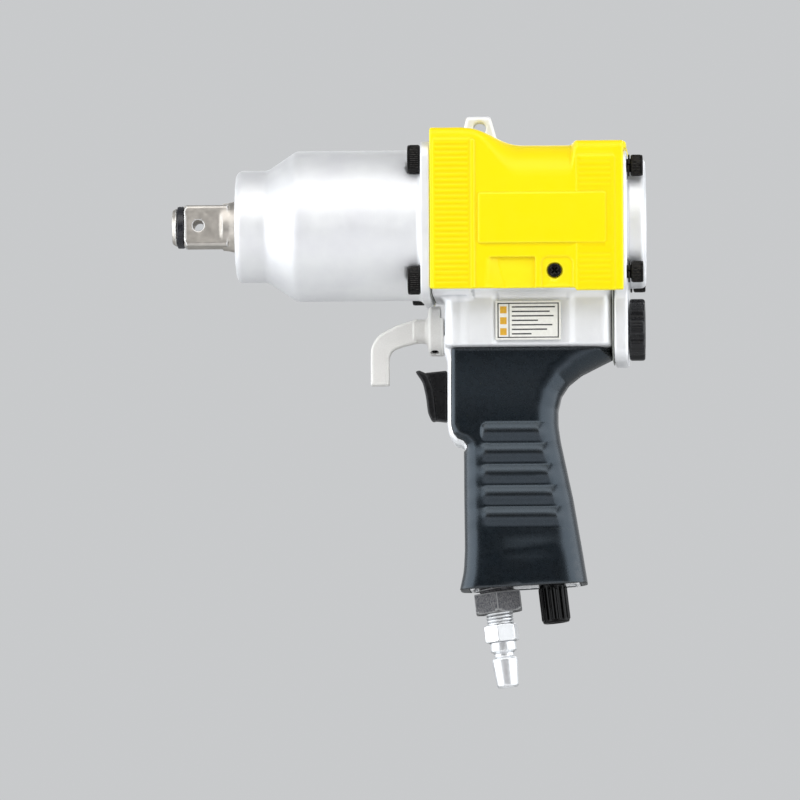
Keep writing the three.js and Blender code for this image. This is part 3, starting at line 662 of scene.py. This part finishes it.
def motor_housing(x, y, z):
    front, back = housing_low.x, housing_high.x
    radius = np.hypot(y, z)
    width = np.abs(y)
    tall = meet(rectangle(y, z, (-34.3, -34.3), (34.3, 40), 8), slab(x, front, BARREL_STEP), 0.8)
    low_barrel = rectangle(y, z, (-33.4, -33), (33.4, 31.4), 11)
    barrel = join(tall, meet(low_barrel, slab(x, front + 4, back), 0.8), 2)
    label_field = 1.3 * ease(x, 147, 151) * (1 - ease(x, 182, 187))
    depth = NECK_HALF - label_field - 0.9 * (1 - ease(x, 132, 138))
    walls = meet(slab(x, 126, back), width - depth, 5)
    neck = meet(walls, slab(z, HANDLE_TOP, -28), 1.6)
    made = join(barrel, neck, 3.5)
    core = meet(outline(x, z, CORE), width - CORE_HALF, 4)
    made = join(made, core, 1.2)
    lug = meet(outline(x, z, LUG), width - LUG_HALF, 1.6)
    made = join(made, lug, 2.5)
    made = cut(made, rod(x, z, LUG_HOLE, LUG_HOLE_RADIUS), 0.8)
    made = cut(made, meet(radius - MOTOR_BORE, slab(x, front - 3, back + 3)))
    made = meet(made, slab(x, front, back))
    for bolt in front_bolts:
        made = cut(made, meet(rod(y, z, bolt.yz, CASE_SCREW_HOLE), x - 137))
    for bolt in rear_bolts:
        made = cut(made, meet(rod(y, z, bolt.yz, REAR_SCREW_HOLE), 180 - x))
    cover_screws = meet(rod(x, z, screw_centre.xz, 2.3), 28 - width)
    bore = meet(rod(y, z, (0, valve.z), 7.6), 128 - x)
    mouth = meet(rod(y, z, (0, valve.z), 6.1), x - 129)
    pocket = meet(rectangle(y, z, (-6.3, -92), (6.3, -66.4), 1.5), x - 133.6)
    foot = meet(meet(outline(x, z, FOOT), width - CORE_HALF + CORE_WALL, 2.5), z + 164)
    throttle = meet(rod(y, z, (0, rod_centre.z), 7.3), slab(x, 133, 157.4))
    for hollow in (cover_screws, bore, mouth, pocket, throttle, foot):
        made = cut(made, hollow)
    along, across = in_handle(x, z)
    for offset, hole in ((0, 8.6), (MUFFLER_OFFSET, 7)):
        made = cut(made, meet(np.hypot(across - offset, y) - hole, along + 93))
    return made


CORE = rounded([
    (200.5, -52), (200.5, -57.6), (186, -64, 10), (177, -74, 10), (173.4, -84, 20),
    (173.6, -96, 40), (180, -128), (187, -163), (187, -166.6, 0.6), (136.8, -169.1, 0.6),
    (137.3, -108.5, 3), (134, -103, 0.8), (130.2, -101.4, 3), (127.6, -98, 4), (126.8, -93, 10),
    (126.8, -64.6, 8), (125.2, -59, 8), (125.2, -52),
])
LUG_HOLE = (141.9, 44.2)
LUG = rounded([
    (133.6, 28), (150.9, 28), (150.6, 37, 6), (146.9, 50, 1.8), (135.9, 50, 1.8),
    (134.2, 43, 8),
])
FOOT = [(138.6, -167.4), (185.2, -165.1), (188, -180), (138.6, -180)]  # the hollow under the core
HANDLE_HEAD = (137.3, -69)  # where the fittings' axis meets the handle's top, in X and Z
HANDLE_RAKE = math.radians(6.5)
RAKE_COS, RAKE_SIN = math.cos(HANDLE_RAKE), math.sin(HANDLE_RAKE)
MUFFLER_OFFSET = 25.6


def in_handle(x, z):
    """Places along the raked handle's axis, up from its head, and across it, towards the back."""
    dx, dz = x - HANDLE_HEAD[0], z - HANDLE_HEAD[1]
    return dz * RAKE_COS - dx * RAKE_SIN, dx * RAKE_COS + dz * RAKE_SIN


# ---------- rear cover ----------


def rear_cover(x, y, z):
    radius = np.hypot(y, z)
    step = plate_low.x
    back = box("rear_washer_1")[0].x - 0.3
    upper = rectangle(y, z, (-33, -32), (33, 31.4), 7)
    lower = rectangle(y, z, (-NECK_HALF, -65), (NECK_HALF, -20), 7)
    plate = meet(join(upper, lower, 6), slab(x, step, back), 1.2)
    cap = turned(x, radius, rounded([
        (back - 3, 0), (back - 3, 30), (plate_high.x, 29.6, 2), (plate_high.x, 24.6, 1),
        (plate_high.x - 1.1, 23.2, 1), (plate_high.x - 1.1, 0),
    ]))
    made = join(plate, cap, 1.5)
    for bolt in rear_bolts:
        seat = rod(y, z, bolt.yz, 6.3)
        made = cut(made, meet(seat, back - x), 0.6)
        made = cut(made, seat + 3)
    made = cut(made, meet(radius - 17, x - step - 3.2))
    return cut(made, rod(y, z, (0, valve.z), 4.9))


# ---------- yellow motor cover ----------

COVER_HALF = 36.8
COVER_TOP = 41.8
COVER_REAR_TOP = 35.4
COVER_BOTTOM = -33.5
COVER_FALL = (136, 25, 41.6, 7.1)  # of the top behind the lug: start, length, height and drop
PAD_FRONT = (121.2, 139.2)
PAD_REAR = (187, 204.6)
PAD_RISE = 0.34
RIB_PITCH = 2.5
RIB_HEIGHT = 0.15
RIDGE_RISE = 0.75
BAND_RISE = 0.74


def cover_top():
    """The cover's outline from the side, with the S-shaped fall behind the hanging lug."""
    start, length, height, drop = COVER_FALL
    shares = np.linspace(0, 1, 13)
    fall = [(start + length * t, height - drop * (t * t * (3 - 2 * t))) for t in shares]
    front = [(110, COVER_TOP), (135, COVER_TOP)]
    rear = [(184.2, 34.4), (186.4, COVER_REAR_TOP), (230, COVER_REAR_TOP), (230, -60), (110, -60)]
    return front + fall + rear


def motor_cover(x, y, z):
    low, high = cover_low, cover_high
    across = np.abs(y)
    edge = 3.5 + 12.5 * ease(x, 141, 160) * (1 - ease(x, 184, 187.6))
    made = meet(outline(x, z, cover_top()), across - COVER_HALF, edge)
    made = meet(made, slab(x, low.x, high.x), 0.8)
    bottom = COVER_BOTTOM + 1.1 * (1 - ease(x, 186, 187))
    made = meet(made, bottom - z, 0.6)
    for pad, top in ((PAD_FRONT, 36.5), (PAD_REAR, 28.5)):
        ribs = RIB_HEIGHT * np.cos(2 * math.pi * (z - 36) / RIB_PITCH) * rib_zone(x, z, pad)
        face = across - COVER_HALF - PAD_RISE + ribs
        pad_box = meet(rectangle(x, z, (pad[0], low.z - 3), (pad[1], top), 1.2), face, 0.5)
        made = join(made, meet(pad_box, bottom - z, 0.6), 0.5)
    ridge = rectangle(x, z, (138.6, low.z - 3), (140.6, 36.2), 0.8)
    ridge = meet(ridge, across - COVER_HALF - RIDGE_RISE, 0.5)
    made = join(made, meet(ridge, bottom - z, 0.5), 0.4)
    band = rectangle(x, z, (142, -11.8), (200.5, 11.4), 1)
    made = join(made, meet(band, across - COVER_HALF - BAND_RISE, 0.35), 0.12)
    made = cut(made, recess(x, across, z), 0.35)
    seat = rectangle(x, z, (171.2, -60), (185.2, -18.4), 3)
    made = cut(made, meet(seat, COVER_HALF - 0.5 - across, 0.5), 0.9)
    sink = meet(rod(x, z, screw_centre.xz, 3.5), COVER_HALF - 1.7 - across)
    made = cut(made, sink, 0.25)
    lip = meet(rectangle(x, z, (204, 31.5), (plate_high.x - 8.2, 35.2), 1.4), across - 33, 2)
    made = join(made, lip, 0.5)
    lug_slot = rectangle(y, x, (-6.2, 133), (6.2, 151.4), 2)
    made = cut(made, meet(lug_slot, 28 - z), 0.5)
    inside = rectangle(y, z, (-34.65, -70), (34.65, 40.2), 8.35)
    inside = meet(inside, slab(x, 110, BARREL_STEP + 0.4))
    inside_rear = meet(rectangle(y, z, (-33.75, -70), (33.75, 31.75), 11.35), 130 - x)
    screw_hole = rod(x, z, screw_centre.xz, 2.4)
    for hollow in (inside, inside_rear, screw_hole):
        made = cut(made, hollow)
    return made


def recess(x, across, z):
    """The low field in front of the cover screw. Its floor rises in a round sweep at the front."""
    start, end = 146.2, 150.9 + 3.6 * (np.maximum(-18 - z, 0) / 14) ** 1.5
    share = (x - start) / (end - start)
    floor = COVER_HALF + 0.1 - 2.2 * np.minimum(share, 1.0)
    field = rectangle(x, z, (140, -60), (168.2, -18.2), 0.8)
    return meet(field, (floor - across) * 0.9, 0.3)


def rib_zone(x, z, pad):
    """Where a pad carries ribs: the front one nearly all over, the rear one above and below."""
    along = ease(x, pad[0] + 0.7, pad[0] + 1.5) * (1 - ease(x, pad[1] - 2.2, pad[1] - 1.4))
    if pad is PAD_FRONT:
        return along * ease(z, -31.5, -30.5) * (1 - ease(z, 34.5, 35.5))
    high = ease(z, 14, 15) * (1 - ease(z, 26.5, 27.5))
    low = ease(z, -31, -30) * (1 - ease(z, -16, -15))
    return 0.5 * along * (high + low)


def build_motor_cover():
    low, high = cover_low, (plate_high.x - 8, cover_high.y, cover_high.z)
    mesh = solid_mesh("motor_cover_shell", motor_cover, low, high, 0.4)
    piece("motor_cover_shell", mesh, YELLOW, "housing", ["motor_cover"])


COVER_SCREW_LENGTH = 7.5


def cover_screw(x, y, z):
    """A pan-head cross-recess screw along X, its head at 0 and its shank towards +X."""
    radius = np.hypot(y, z)
    head = meet(radius - 3.15, slab(x, 0, 1.7), 0.75)
    made = join(head, meet(radius - 2, slab(x, 1, COVER_SCREW_LENGTH), 0.3), 0.2)
    half_slot = (0.5 + 0.25 * np.maximum(1.4 - x, 0) / 1.4) / 1.25
    taper = radius - 2.1 + x
    cross = np.minimum(np.abs(y + z), np.abs(y - z)) / math.sqrt(2) - half_slot
    return cut(made, meet(meet(cross, taper), x - 1.5), 0.12)


def build_cover_screws():
    high = (COVER_SCREW_LENGTH, 4, 4)
    mesh = solid_mesh("cover_screw_head", cover_screw, (0, -4, -4), high, 0.13)
    for side, node in ((-1, "cover_screw_left"), (1, "cover_screw_right")):
        low, high = box(node)
        reach = max(abs(low.y), abs(high.y))
        made = piece(f"{node}_pan_head", mesh, OXIDE, "housing", [node])
        made.rotation_euler = (0, 0, -side * math.pi / 2)
        made.location = (screw_centre.x * MM, side * reach * MM, screw_centre.z * MM)


# ---------- label ----------


def slab_mesh(name, low, high, bevel):
    """A block with bevelled edges, from corner to corner in millimetres."""
    made = bmesh.new()
    bmesh.ops.create_cube(made, size=1)
    for vertex in made.verts:
        for k in range(3):
            vertex.co[k] = (low[k] + (vertex.co[k] + 0.5) * (high[k] - low[k])) * MM
    offset = bevel * MM
    bmesh.ops.bevel(made, geom=made.edges, offset=offset, segments=3, profile=0.5, affect="EDGES")
    mesh = bpy.data.meshes.new(name)
    made.to_mesh(mesh)
    made.free()
    return mesh


INK_RISE = 0.04
INK_SUNK = 0.1
RIM = 0.018
RIMS = (  # as shares of the label's width and height, from corner to corner
    (0.03, 0.05, 0.97, 0.05 + RIM * 1.5), (0.03, 0.95 - RIM * 1.5, 0.97, 0.95),
    (0.03, 0.05, 0.03 + RIM, 0.95), (0.97 - RIM, 0.05, 0.97, 0.95),
    (0.20, 0.05, 0.20 + RIM * 0.7, 0.95),
)
LINE_LENGTHS = (0.66, 0.58, 0.64, 0.40, 0.62, 0.54, 0.30)


def build_label():
    low, high = box("label_plate")
    mesh = slab_mesh("label_sheet", low, high, 0.2)
    piece("label_sheet", mesh, LABEL, "housing", ["label_plate"])
    front, back = low.y - INK_RISE, low.y + INK_SUNK
    width, height = high.x - low.x, high.z - low.z

    def bar(name, look, u0, v0, u1, v1):
        x0, x1 = low.x + u0 * width, low.x + u1 * width
        z0, z1 = low.z + v0 * height, low.z + v1 * height
        mesh = slab_mesh(name, (x0, front, z0), (x1, back, z1), 0.01)
        piece(name, mesh, look, "housing")

    for i, corners in enumerate(RIMS):
        bar(f"label_rim_{i + 1}", INK, *corners)
    for i in range(3):
        bar(f"label_patch_{i + 1}", AMBER, 0.07, 0.12 + 0.28 * i, 0.17, 0.30 + 0.28 * i)
    for i, length in enumerate(LINE_LENGTHS):
        top = 0.86 - i * 0.115
        bar(f"label_line_{i + 1}", INK, 0.25, top - 0.035, 0.25 + length, top)


# ---------- reversing lever ----------

LEVER_HALF = 4  # half its arm's thickness, in Y
HUB_RADIUS = 11.5
COLLAR_RADIUS = 5.6
SEAT_RADIUS = 5.9
GRUB_X = 121
GRUB_TURN = math.radians(25)
ARM = rounded([
    (112.6, -54.4), (106.2, -55.9, 14), (99.9, -58.2, 5.5), (99.9, -74, 0.8), (91.3, -74, 0.8),
    (91.3, -52.6, 11.5), (103.5, -46.2, 16), (112.6, -43.5),
], 10)


def reverse_lever(x, y, z):
    radius = np.hypot(y, z - valve.z)
    bulge = 1.5 * (radius / HUB_RADIUS) ** 2
    hub = meet(radius - HUB_RADIUS, slab(x, 117 + bulge, 125.2), 1)
    notch = meet(-43.6 - z, 123.6 - x)
    hub = cut(hub, notch, 0.5)
    collar = meet(radius - COLLAR_RADIUS, slab(x, 111, 119), 0.3)
    arm = meet(outline(x, z, ARM), np.abs(y) - LEVER_HALF, 1.3)
    made = join(join(hub, collar, 1.3), arm, 0.5)
    made = cut(made, meet(radius - SEAT_RADIUS, 118.1 - x))
    across, along = beside_grub(y, z)
    return cut(made, meet(rod(x, across, (GRUB_X, 0), 2.0), along), 0.3)


def beside_grub(y, z):
    """Places across the hub's set screw, and along it. The screw is where along is negative."""
    up = z - valve.z
    cos, sin = math.cos(GRUB_TURN), math.sin(GRUB_TURN)
    return y * cos - up * sin, y * sin + up * cos


def set_screw(x, y, z):
    """The grub screw in the hub: a slim rod with a hexagon socket in its outer end."""
    across, along = beside_grub(y, z)
    body = meet(rod(x, across, (GRUB_X, 0), 1.7), slab(along, -10.6, -6), 0.3)
    return cut(body, meet(hexagon(x - GRUB_X, across, 1.9), along + 8.6), 0.1)


def build_set_screw():
    low, high = (118.8, -8, valve.z - 10.8), (123.2, -1, valve.z - 3)
    mesh = solid_mesh("lever_grub_screw", set_screw, low, high, 0.12)
    piece("lever_grub_screw", mesh, OXIDE, "reverse_control", ["lever_set_screw"])


# ---------- air regulator knob ----------

KNOB_RADIUS = 14.2
KNOB_LOBES = 8
SCALLOP_CENTRE = 15.6
SCALLOP_RADIUS = 2.7


def regulator_knob(x, y, z):
    low, high = box("regulator_knob")
    up = z - valve.z
    radius = np.hypot(y, up)
    angle = np.arctan2(up, y)
    made = meet(radius - KNOB_RADIUS, slab(x, low.x, high.x), 1.2)
    for i in range(KNOB_LOBES):
        lobe = (i + 0.5) / KNOB_LOBES * 2 * math.pi
        centre = (SCALLOP_CENTRE * math.cos(lobe), SCALLOP_CENTRE * math.sin(lobe))
        made = cut(made, rod(y, up, centre, SCALLOP_RADIUS), 0.7)
    dish = meet(radius - 9.5, high.x - 0.8 - x)
    made = cut(made, dish, 0.4)
    pointer = meet(rectangle(y, up, (-0.8, 3.5), (0.8, 9.2), 0.7), high.x - 1.4 - x, 0.2)
    made = cut(made, pointer, 0.2)
    ridges = 0.12 * np.cos(angle * 60)
    made = meet(made, radius - KNOB_RADIUS + np.maximum(ridges, 0))
    return cut(made, meet(radius - 4.8, x - high.x + 2.8))


# ---------- trigger ----------

BLADE = rounded([
    (111.9, -67.9, 0.5), (113.6, -67.2, 1.2), (117.6, -69.0, 4), (120.2, -76.0, 10),
    (121.0, -83.0, 20), (121.8, -90.6, 1.6), (119.2, -90.6, 1.8), (117.6, -87.0, 8),
    (116.7, -79.5, 24), (115.2, -72.6, 12),
], 9)
TRIGGER_BODY = rounded([
    (116, -68.4, 1), (126.6, -67.4, 1), (126.6, -91.0, 1), (119.8, -90.2, 1), (118.6, -80),
])


def trigger(x, y, z):
    blade = meet(outline(x, z, BLADE), np.abs(y) - 5.7, 1.2)
    stem = meet(outline(x, z, TRIGGER_BODY), np.abs(y) - 4.6, 0.8)
    made = join(blade, stem, 0.4)
    return cut(made, meet(rod(y, z, (0, rod_centre.z), 2.3), 119 - x))


# ---------- rubber grip ----------

GRIP_HALF = 19
RIDGES = 5
RIDGE_PITCH = 9.75
FIRST_RIDGE = -92.2
GRIP_FRONT = [
    (131.2, -176), (132, -169), (133.9, -160), (134.4, -150), (134.2, -125), (134.2, -103),
    (133.4, -101.6), (131, -100.4), (129.3, -97.6), (128.5, -93), (128.5, -45),
]
GRIP_REAR = [
    (202.7, -45), (202.7, -62.6), (196.5, -65.6), (188, -69.9), (182.4, -74.4), (179, -79.5),
    (177.4, -86), (177.4, -93), (178.4, -100), (184.2, -127.5), (188.2, -151), (190.6, -166),
    (192, -176),
]


def grip_sleeve(x, y, z):
    across = np.abs(y)
    start = 144 + 0.02 * (FIRST_RIDGE - z)
    end = 168.5 + 0.21 * (FIRST_RIDGE - z)
    line = z + 0.22 * np.maximum(start - x, 0) - 0.28 * np.maximum(x - end, 0)
    step = (FIRST_RIDGE - line) / RIDGE_PITCH
    share = step - np.floor(step)
    swell = (1 - (1 - np.clip(share / 0.4, 0, 1)) ** 1.6) * (1 - ease(share, 0.42, 1.0))
    in_rows = ease(step, -0.02, 0.0) * (1 - ease(step, RIDGES - 0.1, RIDGES + 0.1))
    flank = ease(x, start - 3.5, start + 1) * (1 - ease(x, end - 1, end + 4))
    first_bar = ease(-rectangle(x, z, (141.8, -102.4), (230, -91.6), 4), 0.0, 1.4)
    first_row = np.maximum(first_bar, ease(step, 0.98, 1.02))
    height = in_rows * swell * (0.4 + 1.2 * flank) * first_row
    low_bulge = np.exp(-(((z + 150.5 + 0.1 * (164 - x)) / 4.2) ** 2) - ((x - 164) / 13) ** 4)
    outer = outline(x, z, [*GRIP_FRONT, *GRIP_REAR])
    side = across - GRIP_HALF + 0.9 * (1 - ease(-z, 62, 90)) - height - 0.8 * low_bulge + 1.6
    front_corner = 2.8 + 6.2 * ease(-z, 92, 107)
    bulk = meet(outer, side, front_corner + (12 - front_corner) * ease(x, 145, 172))
    bulk = meet(bulk, grip_bottom(x) - z, 0.7)
    bulk = meet(bulk, z + 58, 0.5)
    hollow = meet(outline(x, z, GRIP_HOLLOW), across - CORE_HALF - 0.4, 4.3)
    return cut(bulk, hollow)


def grip_bottom(x):
    """The sleeve's slanted lower edge."""
    return -169 + 3 * (x - 132) / 58.6


GRIP_HOLLOW = [
    (201, -40), (201, -57.6), (186.5, -64), (177.5, -74), (173.9, -84), (174.1, -96),
    (180.5, -128), (187.5, -163), (187.5, -175), (136.3, -175), (136.8, -108.7),
    (133.5, -103.4), (130, -102), (120, -98), (120, -40),
]


# ---------- air fittings at the handle's foot ----------


def handle_place(offset=0.0):
    """Puts a solid into the raked handle: its +X points down, and its zero is at the head."""
    head = Vector((HANDLE_HEAD[0], 0, HANDLE_HEAD[1]))
    down, back = Vector((RAKE_SIN, 0, -RAKE_COS)), Vector((RAKE_COS, 0, RAKE_SIN))
    rotation = Matrix((down, back, down.cross(back))).transposed()
    return Matrix.Translation(head + back * offset) @ rotation.to_4x4()


def inlet_bushing(x, y, z):
    """The large hexagon with its thread, along +X downwards."""
    radius = np.hypot(y, z)
    nut = meet(hexagon(y, z, 21), slab(x, 101.4, 110.8), 0.35)
    nut = meet(nut, radius - 12.6 + 1.2 * np.maximum(x - 109.3, 0), 0.3)
    thread = threaded(x, y, z, 8.2, 94.6, 101.8, 1.8)
    made = join(nut, thread, 0.3)
    return cut(made, radius - 6.7, 0.5)


def threaded(x, y, z, radius, low, high, pitch):
    """A rod with a screw thread cut into it."""
    turn = x / pitch - np.arctan2(z, y) / (2 * math.pi)
    depth = np.abs(turn - np.round(turn)) * pitch * 0.55
    return meet(np.hypot(y, z) - radius + depth, slab(x, low, high), 0.3)


def hose_nipple(x, y, z):
    """The quick-connect plug, along +X downwards."""
    radius = np.hypot(y, z)
    flats = meet(hexagon(y, z, 14, 11), slab(x, 116.2, 124), 0.3)
    flats = meet(flats, radius - 8.3 + np.maximum(np.abs(x - 120.1) - 3.2, 0) * 1.4, 0.2)
    body = turned(x, radius, rounded([
        (104.2, 0), (104.2, 5.2), (116.6, 5.2), (123.5, 6.0, 0.5), (128.3, 6.0, 0.7),
        (129.2, 4.5, 0.7), (131.1, 4.5, 0.7), (132, 6.0, 0.5), (133.4, 6.0, 0.6),
        (144.2, 4.95, 1), (145, 4.4, 0.4), (145, 0),
    ]))
    made = join(body, flats, 0.4)
    made = join(made, threaded(x, y, z, 6.3, 104.2, 116.8, 1.6))
    return cut(made, radius - 3.2, 0.35)


FLUTES = 14


def exhaust_muffler(x, y, z):
    """The fluted silencer, along +X downwards."""
    radius = np.hypot(y, z)
    angle = np.arctan2(z, y)
    fluted = ease(x, 101, 103) * (1 - ease(x, 116.4, 117.6))
    flute = 0.42 * np.maximum(np.cos(angle * FLUTES), -0.5) * fluted
    body = meet(radius - 6.2 - flute, slab(x, 96, 118.4), 1)
    bottom = meet(radius - 4.6, 117.7 - x)
    return cut(cut(body, bottom, 0.3), meet(radius - 4, x - 115.4))


FITTINGS = (  # piece, distance, ends, reach across, grid step, material, node, slot, offset
    ("inlet_bushing_hex", inlet_bushing, (94.6, 110.8), 12.2, 0.22, INLET_STEEL,
     "inlet_bushing", "inlet_steel", 0),
    ("hose_nipple_plug", hose_nipple, (104.2, 145), 8.4, 0.2, PLATED,
     "hose_nipple", "plated_steel", 0),
    ("exhaust_muffler_can", exhaust_muffler, (96, 118.4), 6.7, 0.16, MUFFLER,
     "exhaust_muffler", "muffler_black", MUFFLER_OFFSET),
)


def build_fittings():
    for name, solid, (start, end), reach, step, look, node, slot, offset in FITTINGS:
        low, high = (start, -reach, -reach), (end, reach, reach)
        mesh = solid_mesh(name, solid, low, high, step, handle_place(offset))
        piece(name, mesh, look, "housing", [node])


# ---------- throttle spring ----------

WIRE = 0.5  # the wire's radius
SPRING_TURNS = 4.2
SPRING_RINGS = 169
WIRE_SIDES = 12


def spring_mesh(name, low, high):
    """A coil along X that fills the box from low to high, its end turns closed up."""
    rings, sides = SPRING_RINGS, WIRE_SIDES
    share = np.linspace(0, 1, rings)
    along = np.interp(share, [0, 0.17, 0.83, 1], [0, 0.06, 0.94, 1])
    axis = (low + high) / 2
    radius = (high.z - low.z) / 2 - WIRE
    turn = 2 * math.pi * SPRING_TURNS * share
    outward = np.stack([np.zeros(rings), np.cos(turn), np.sin(turn)], axis=1)
    centres = outward * radius + [0, axis.y, axis.z]
    centres[:, 0] = low.x + WIRE + along * (high.x - low.x - 2 * WIRE)
    around = 2 * math.pi * np.arange(sides) / sides
    outwards = np.cos(around)[None, :, None] * outward[:, None, :]
    section = outwards + np.sin(around)[None, :, None] * np.array([1.0, 0, 0])
    points = (centres[:, None, :] + WIRE * section).reshape(-1, 3)
    grid = np.arange(rings * sides).reshape(rings, sides)
    turned_on = np.roll(grid, -1, axis=1)
    walls = np.stack([grid[:-1], turned_on[:-1], turned_on[1:], grid[1:]], axis=2).reshape(-1, 4)
    ends = np.stack([grid[0, ::-1], grid[-1]])
    return mesh_from(name, points, [walls, ends])


def build_throttle_spring():
    low, high = box("throttle_spring")
    name = "throttle_spring_coil"
    mesh = spring_mesh(name, low, high)
    coil = piece(name, mesh, BEARING_STEEL, "housing", ["throttle_spring"])
    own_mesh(coil)


# ---------- CAD nodes that stay as they are, with their materials ----------

KEPT = {
    TOOL_STEEL: ["hammer_cage", "hammer_front", "hammer_rear", "rotor"],
    BEARING_STEEL: [
        "hammer_pin_top", "hammer_pin_bottom", "front_end_plate", "front_bearing", "cylinder_liner",
        "liner_dowel_pin", "rear_end_plate", "rear_bearing", "reverse_valve", "regulator_valve",
        "trigger_rod", "throttle_valve",
    ],
    BRONZE: [
        "anvil_bushing", "valve_bushing", "trigger_bushing", "throttle_seat", "inlet_strainer",
    ],
    VANE: [f"rotor_vane_{i}" for i in range(1, 7)],
    GASKET: ["case_gasket", "rear_gasket"],
    SEAL: ["anvil_seal"],
}


def dress_kept_nodes():
    for look, names in KEPT.items():
        for name in names:
            for slot in NODES[name].material_slots:
                slot.material = look


# ---------- stage ----------

CAMERA_AZIMUTH = math.radians(2.3)
CAMERA_ELEVATION = math.radians(-4.6)
CAMERA_ROLL = math.radians(0.25)
CAMERA_DISTANCE = 5.0
VIEW_WIDTH = 0.368  # of the picture, at the tool
VIEW_CENTRE = Vector((0.1046, 0.0, -0.0805))
SENSOR = 36
CAMERA_REACH = 20
BELOW_COLOR = (0.10, 0.11, 0.13, 1)
HORIZON_COLOR = (0.58, 0.59, 0.60, 1)
ABOVE_COLOR = (0.34, 0.35, 0.36, 1)
DARK_FRONT = (0.03, 0.2, 0.04, 1.0)  # from and to how deep the room brightens, and its strengths
FLOOR_REACH = 30
FLOOR_HEIGHT = -1.1  # the tool hangs by its lug, clear of the floor and of the low camera


def build_camera():
    data = bpy.data.cameras.new("camera")
    camera = added("camera", data)
    turn, rise = CAMERA_AZIMUTH, CAMERA_ELEVATION
    across = math.cos(rise)
    back = Vector((math.sin(turn) * across, -math.cos(turn) * across, math.sin(rise)))
    data.sensor_width = SENSOR
    data.lens = SENSOR * CAMERA_DISTANCE / VIEW_WIDTH
    data.clip_end = CAMERA_REACH
    camera.location = VIEW_CENTRE + back * CAMERA_DISTANCE
    aim = (-back).to_track_quat("-Z", "Y")
    camera.rotation_mode = "QUATERNION"
    camera.rotation_quaternion = aim @ Matrix.Rotation(-CAMERA_ROLL, 3, "Z").to_quaternion()
    bpy.context.scene.camera = camera


def area_light(name, place, size, power, color=(1, 1, 1)):
    data = bpy.data.lights.new(name, "AREA")
    data.shape = "RECTANGLE"
    data.size, data.size_y = size
    data.energy = power
    data.color = color
    light = added(name, data)
    light.location = VIEW_CENTRE + Vector(place)
    light.visible_camera = False
    light.rotation_mode = "QUATERNION"
    light.rotation_quaternion = (-Vector(place)).to_track_quat("-Z", "Y")


def build_lights():
    area_light("overhead", (0.0, -0.9, 1.1), (2.2, 0.9), 10, (1.0, 0.995, 0.98))
    area_light("left_panel", (-1.2, -0.25, 0.0), (1.9, 1.5), 17, (0.93, 0.965, 1.0))
    area_light("right_panel", (1.2, -0.25, 0.0), (1.9, 1.5), 14, (0.93, 0.965, 1.0))
    area_light("upper_front", (0.0, -1.2, 0.7), (2.4, 1.0), 4.8)
    area_light("lower_front", (0.0, -1.1, -0.7), (2.4, 0.5), 3, (0.98, 0.96, 1.0))
    area_light("back_panel", (0.2, 1.4, 0.6), (1.2, 0.5), 3)


def build_world():
    """A pale room. It's darkest below, brightest at the horizon, and dark round the camera."""
    world = bpy.data.worlds.new("studio")
    tree = Tree(world)
    background = tree.tree.nodes["Background"].inputs
    direction = tree.node("ShaderNodeSeparateXYZ")
    tree.feed(direction.inputs["Vector"], tree.node("ShaderNodeTexCoord").outputs["Generated"])
    shade = tree.node("ShaderNodeValToRGB")
    ramp = shade.color_ramp
    ramp.interpolation = "EASE"
    below, above = ramp.elements
    below.position, below.color = 0.25, BELOW_COLOR
    above.position, above.color = 0.75, ABOVE_COLOR
    for place in (0.42, 0.58):
        ramp.elements.new(place).color = HORIZON_COLOR
    height = tree.math("MULTIPLY_ADD", direction.outputs["Z"], 0.5, 0.5)
    depth = tree.math("MULTIPLY_ADD", direction.outputs["Y"], 0.5, 0.5)
    tree.feed(shade.inputs["Fac"], height)
    tree.feed(background["Color"], shade.outputs["Color"])
    strength = tree.ranged(depth, *DARK_FRONT, interpolation_type="SMOOTHSTEP")
    tree.feed(background["Strength"], strength)
    bpy.context.scene.world = world
    bpy.context.scene.view_settings.view_transform = "Standard"


def build_floor():
    look = Look("studio_floor", (0.60, 0.60, 0.59), 0.7)
    look.tint((60, 4), (0.63, 0.63, 0.62))
    look.roughen((20, 4), 0.1)
    mesh = bpy.data.meshes.new("studio_floor")
    turns = ((-1, -1), (1, -1), (1, 1), (-1, 1))
    corners = [(u * FLOOR_REACH, v * FLOOR_REACH, FLOOR_HEIGHT) for u, v in turns]
    mesh.from_pydata(corners, [], [(0, 1, 2, 3)])
    mesh.materials.append(look.done())
    floor = added("studio_floor", mesh)


# ---------- the whole tool ----------


def solid_piece(node, name, solid, step, look, body):
    """The piece that stands for one node and fills its box."""
    low, high = box(node)
    piece(name, solid_mesh(name, solid, low, high, step), look, body, [node])


build_camera()
build_lights()
build_world()
build_floor()
dress_kept_nodes()
solid_piece(
    "hammer_case", "hammer_case_skin", hammer_case, 0.42, TURNED, "housing"
)
solid_piece("anvil", "anvil_forging", anvil, 0.3, TOOL_STEEL, "anvil")
solid_piece(
    "socket_retainer_ring", "retainer_ring_split", retainer_ring, 0.16, SEAL, "anvil"
)
build_screws()
solid_piece(
    "motor_housing", "motor_housing_casting", motor_housing, 0.5, CAST, "housing"
)
solid_piece("rear_cover", "rear_cover_casting", rear_cover, 0.4, CAST, "housing")
build_motor_cover()
build_cover_screws()
build_label()
solid_piece(
    "reverse_lever", "reverse_lever_cast", reverse_lever, 0.25, LEVER, "reverse_control",
)
build_set_screw()
solid_piece(
    "regulator_knob", "regulator_knob_moulding", regulator_knob, 0.2, PLASTIC, "regulator",
)
solid_piece("trigger", "trigger_blade", trigger, 0.2, PLASTIC, "trigger")
solid_piece(
    "grip_sleeve", "grip_sleeve_rubber", grip_sleeve, 0.45, RUBBER, "housing"
)
build_fittings()
build_throttle_spring()
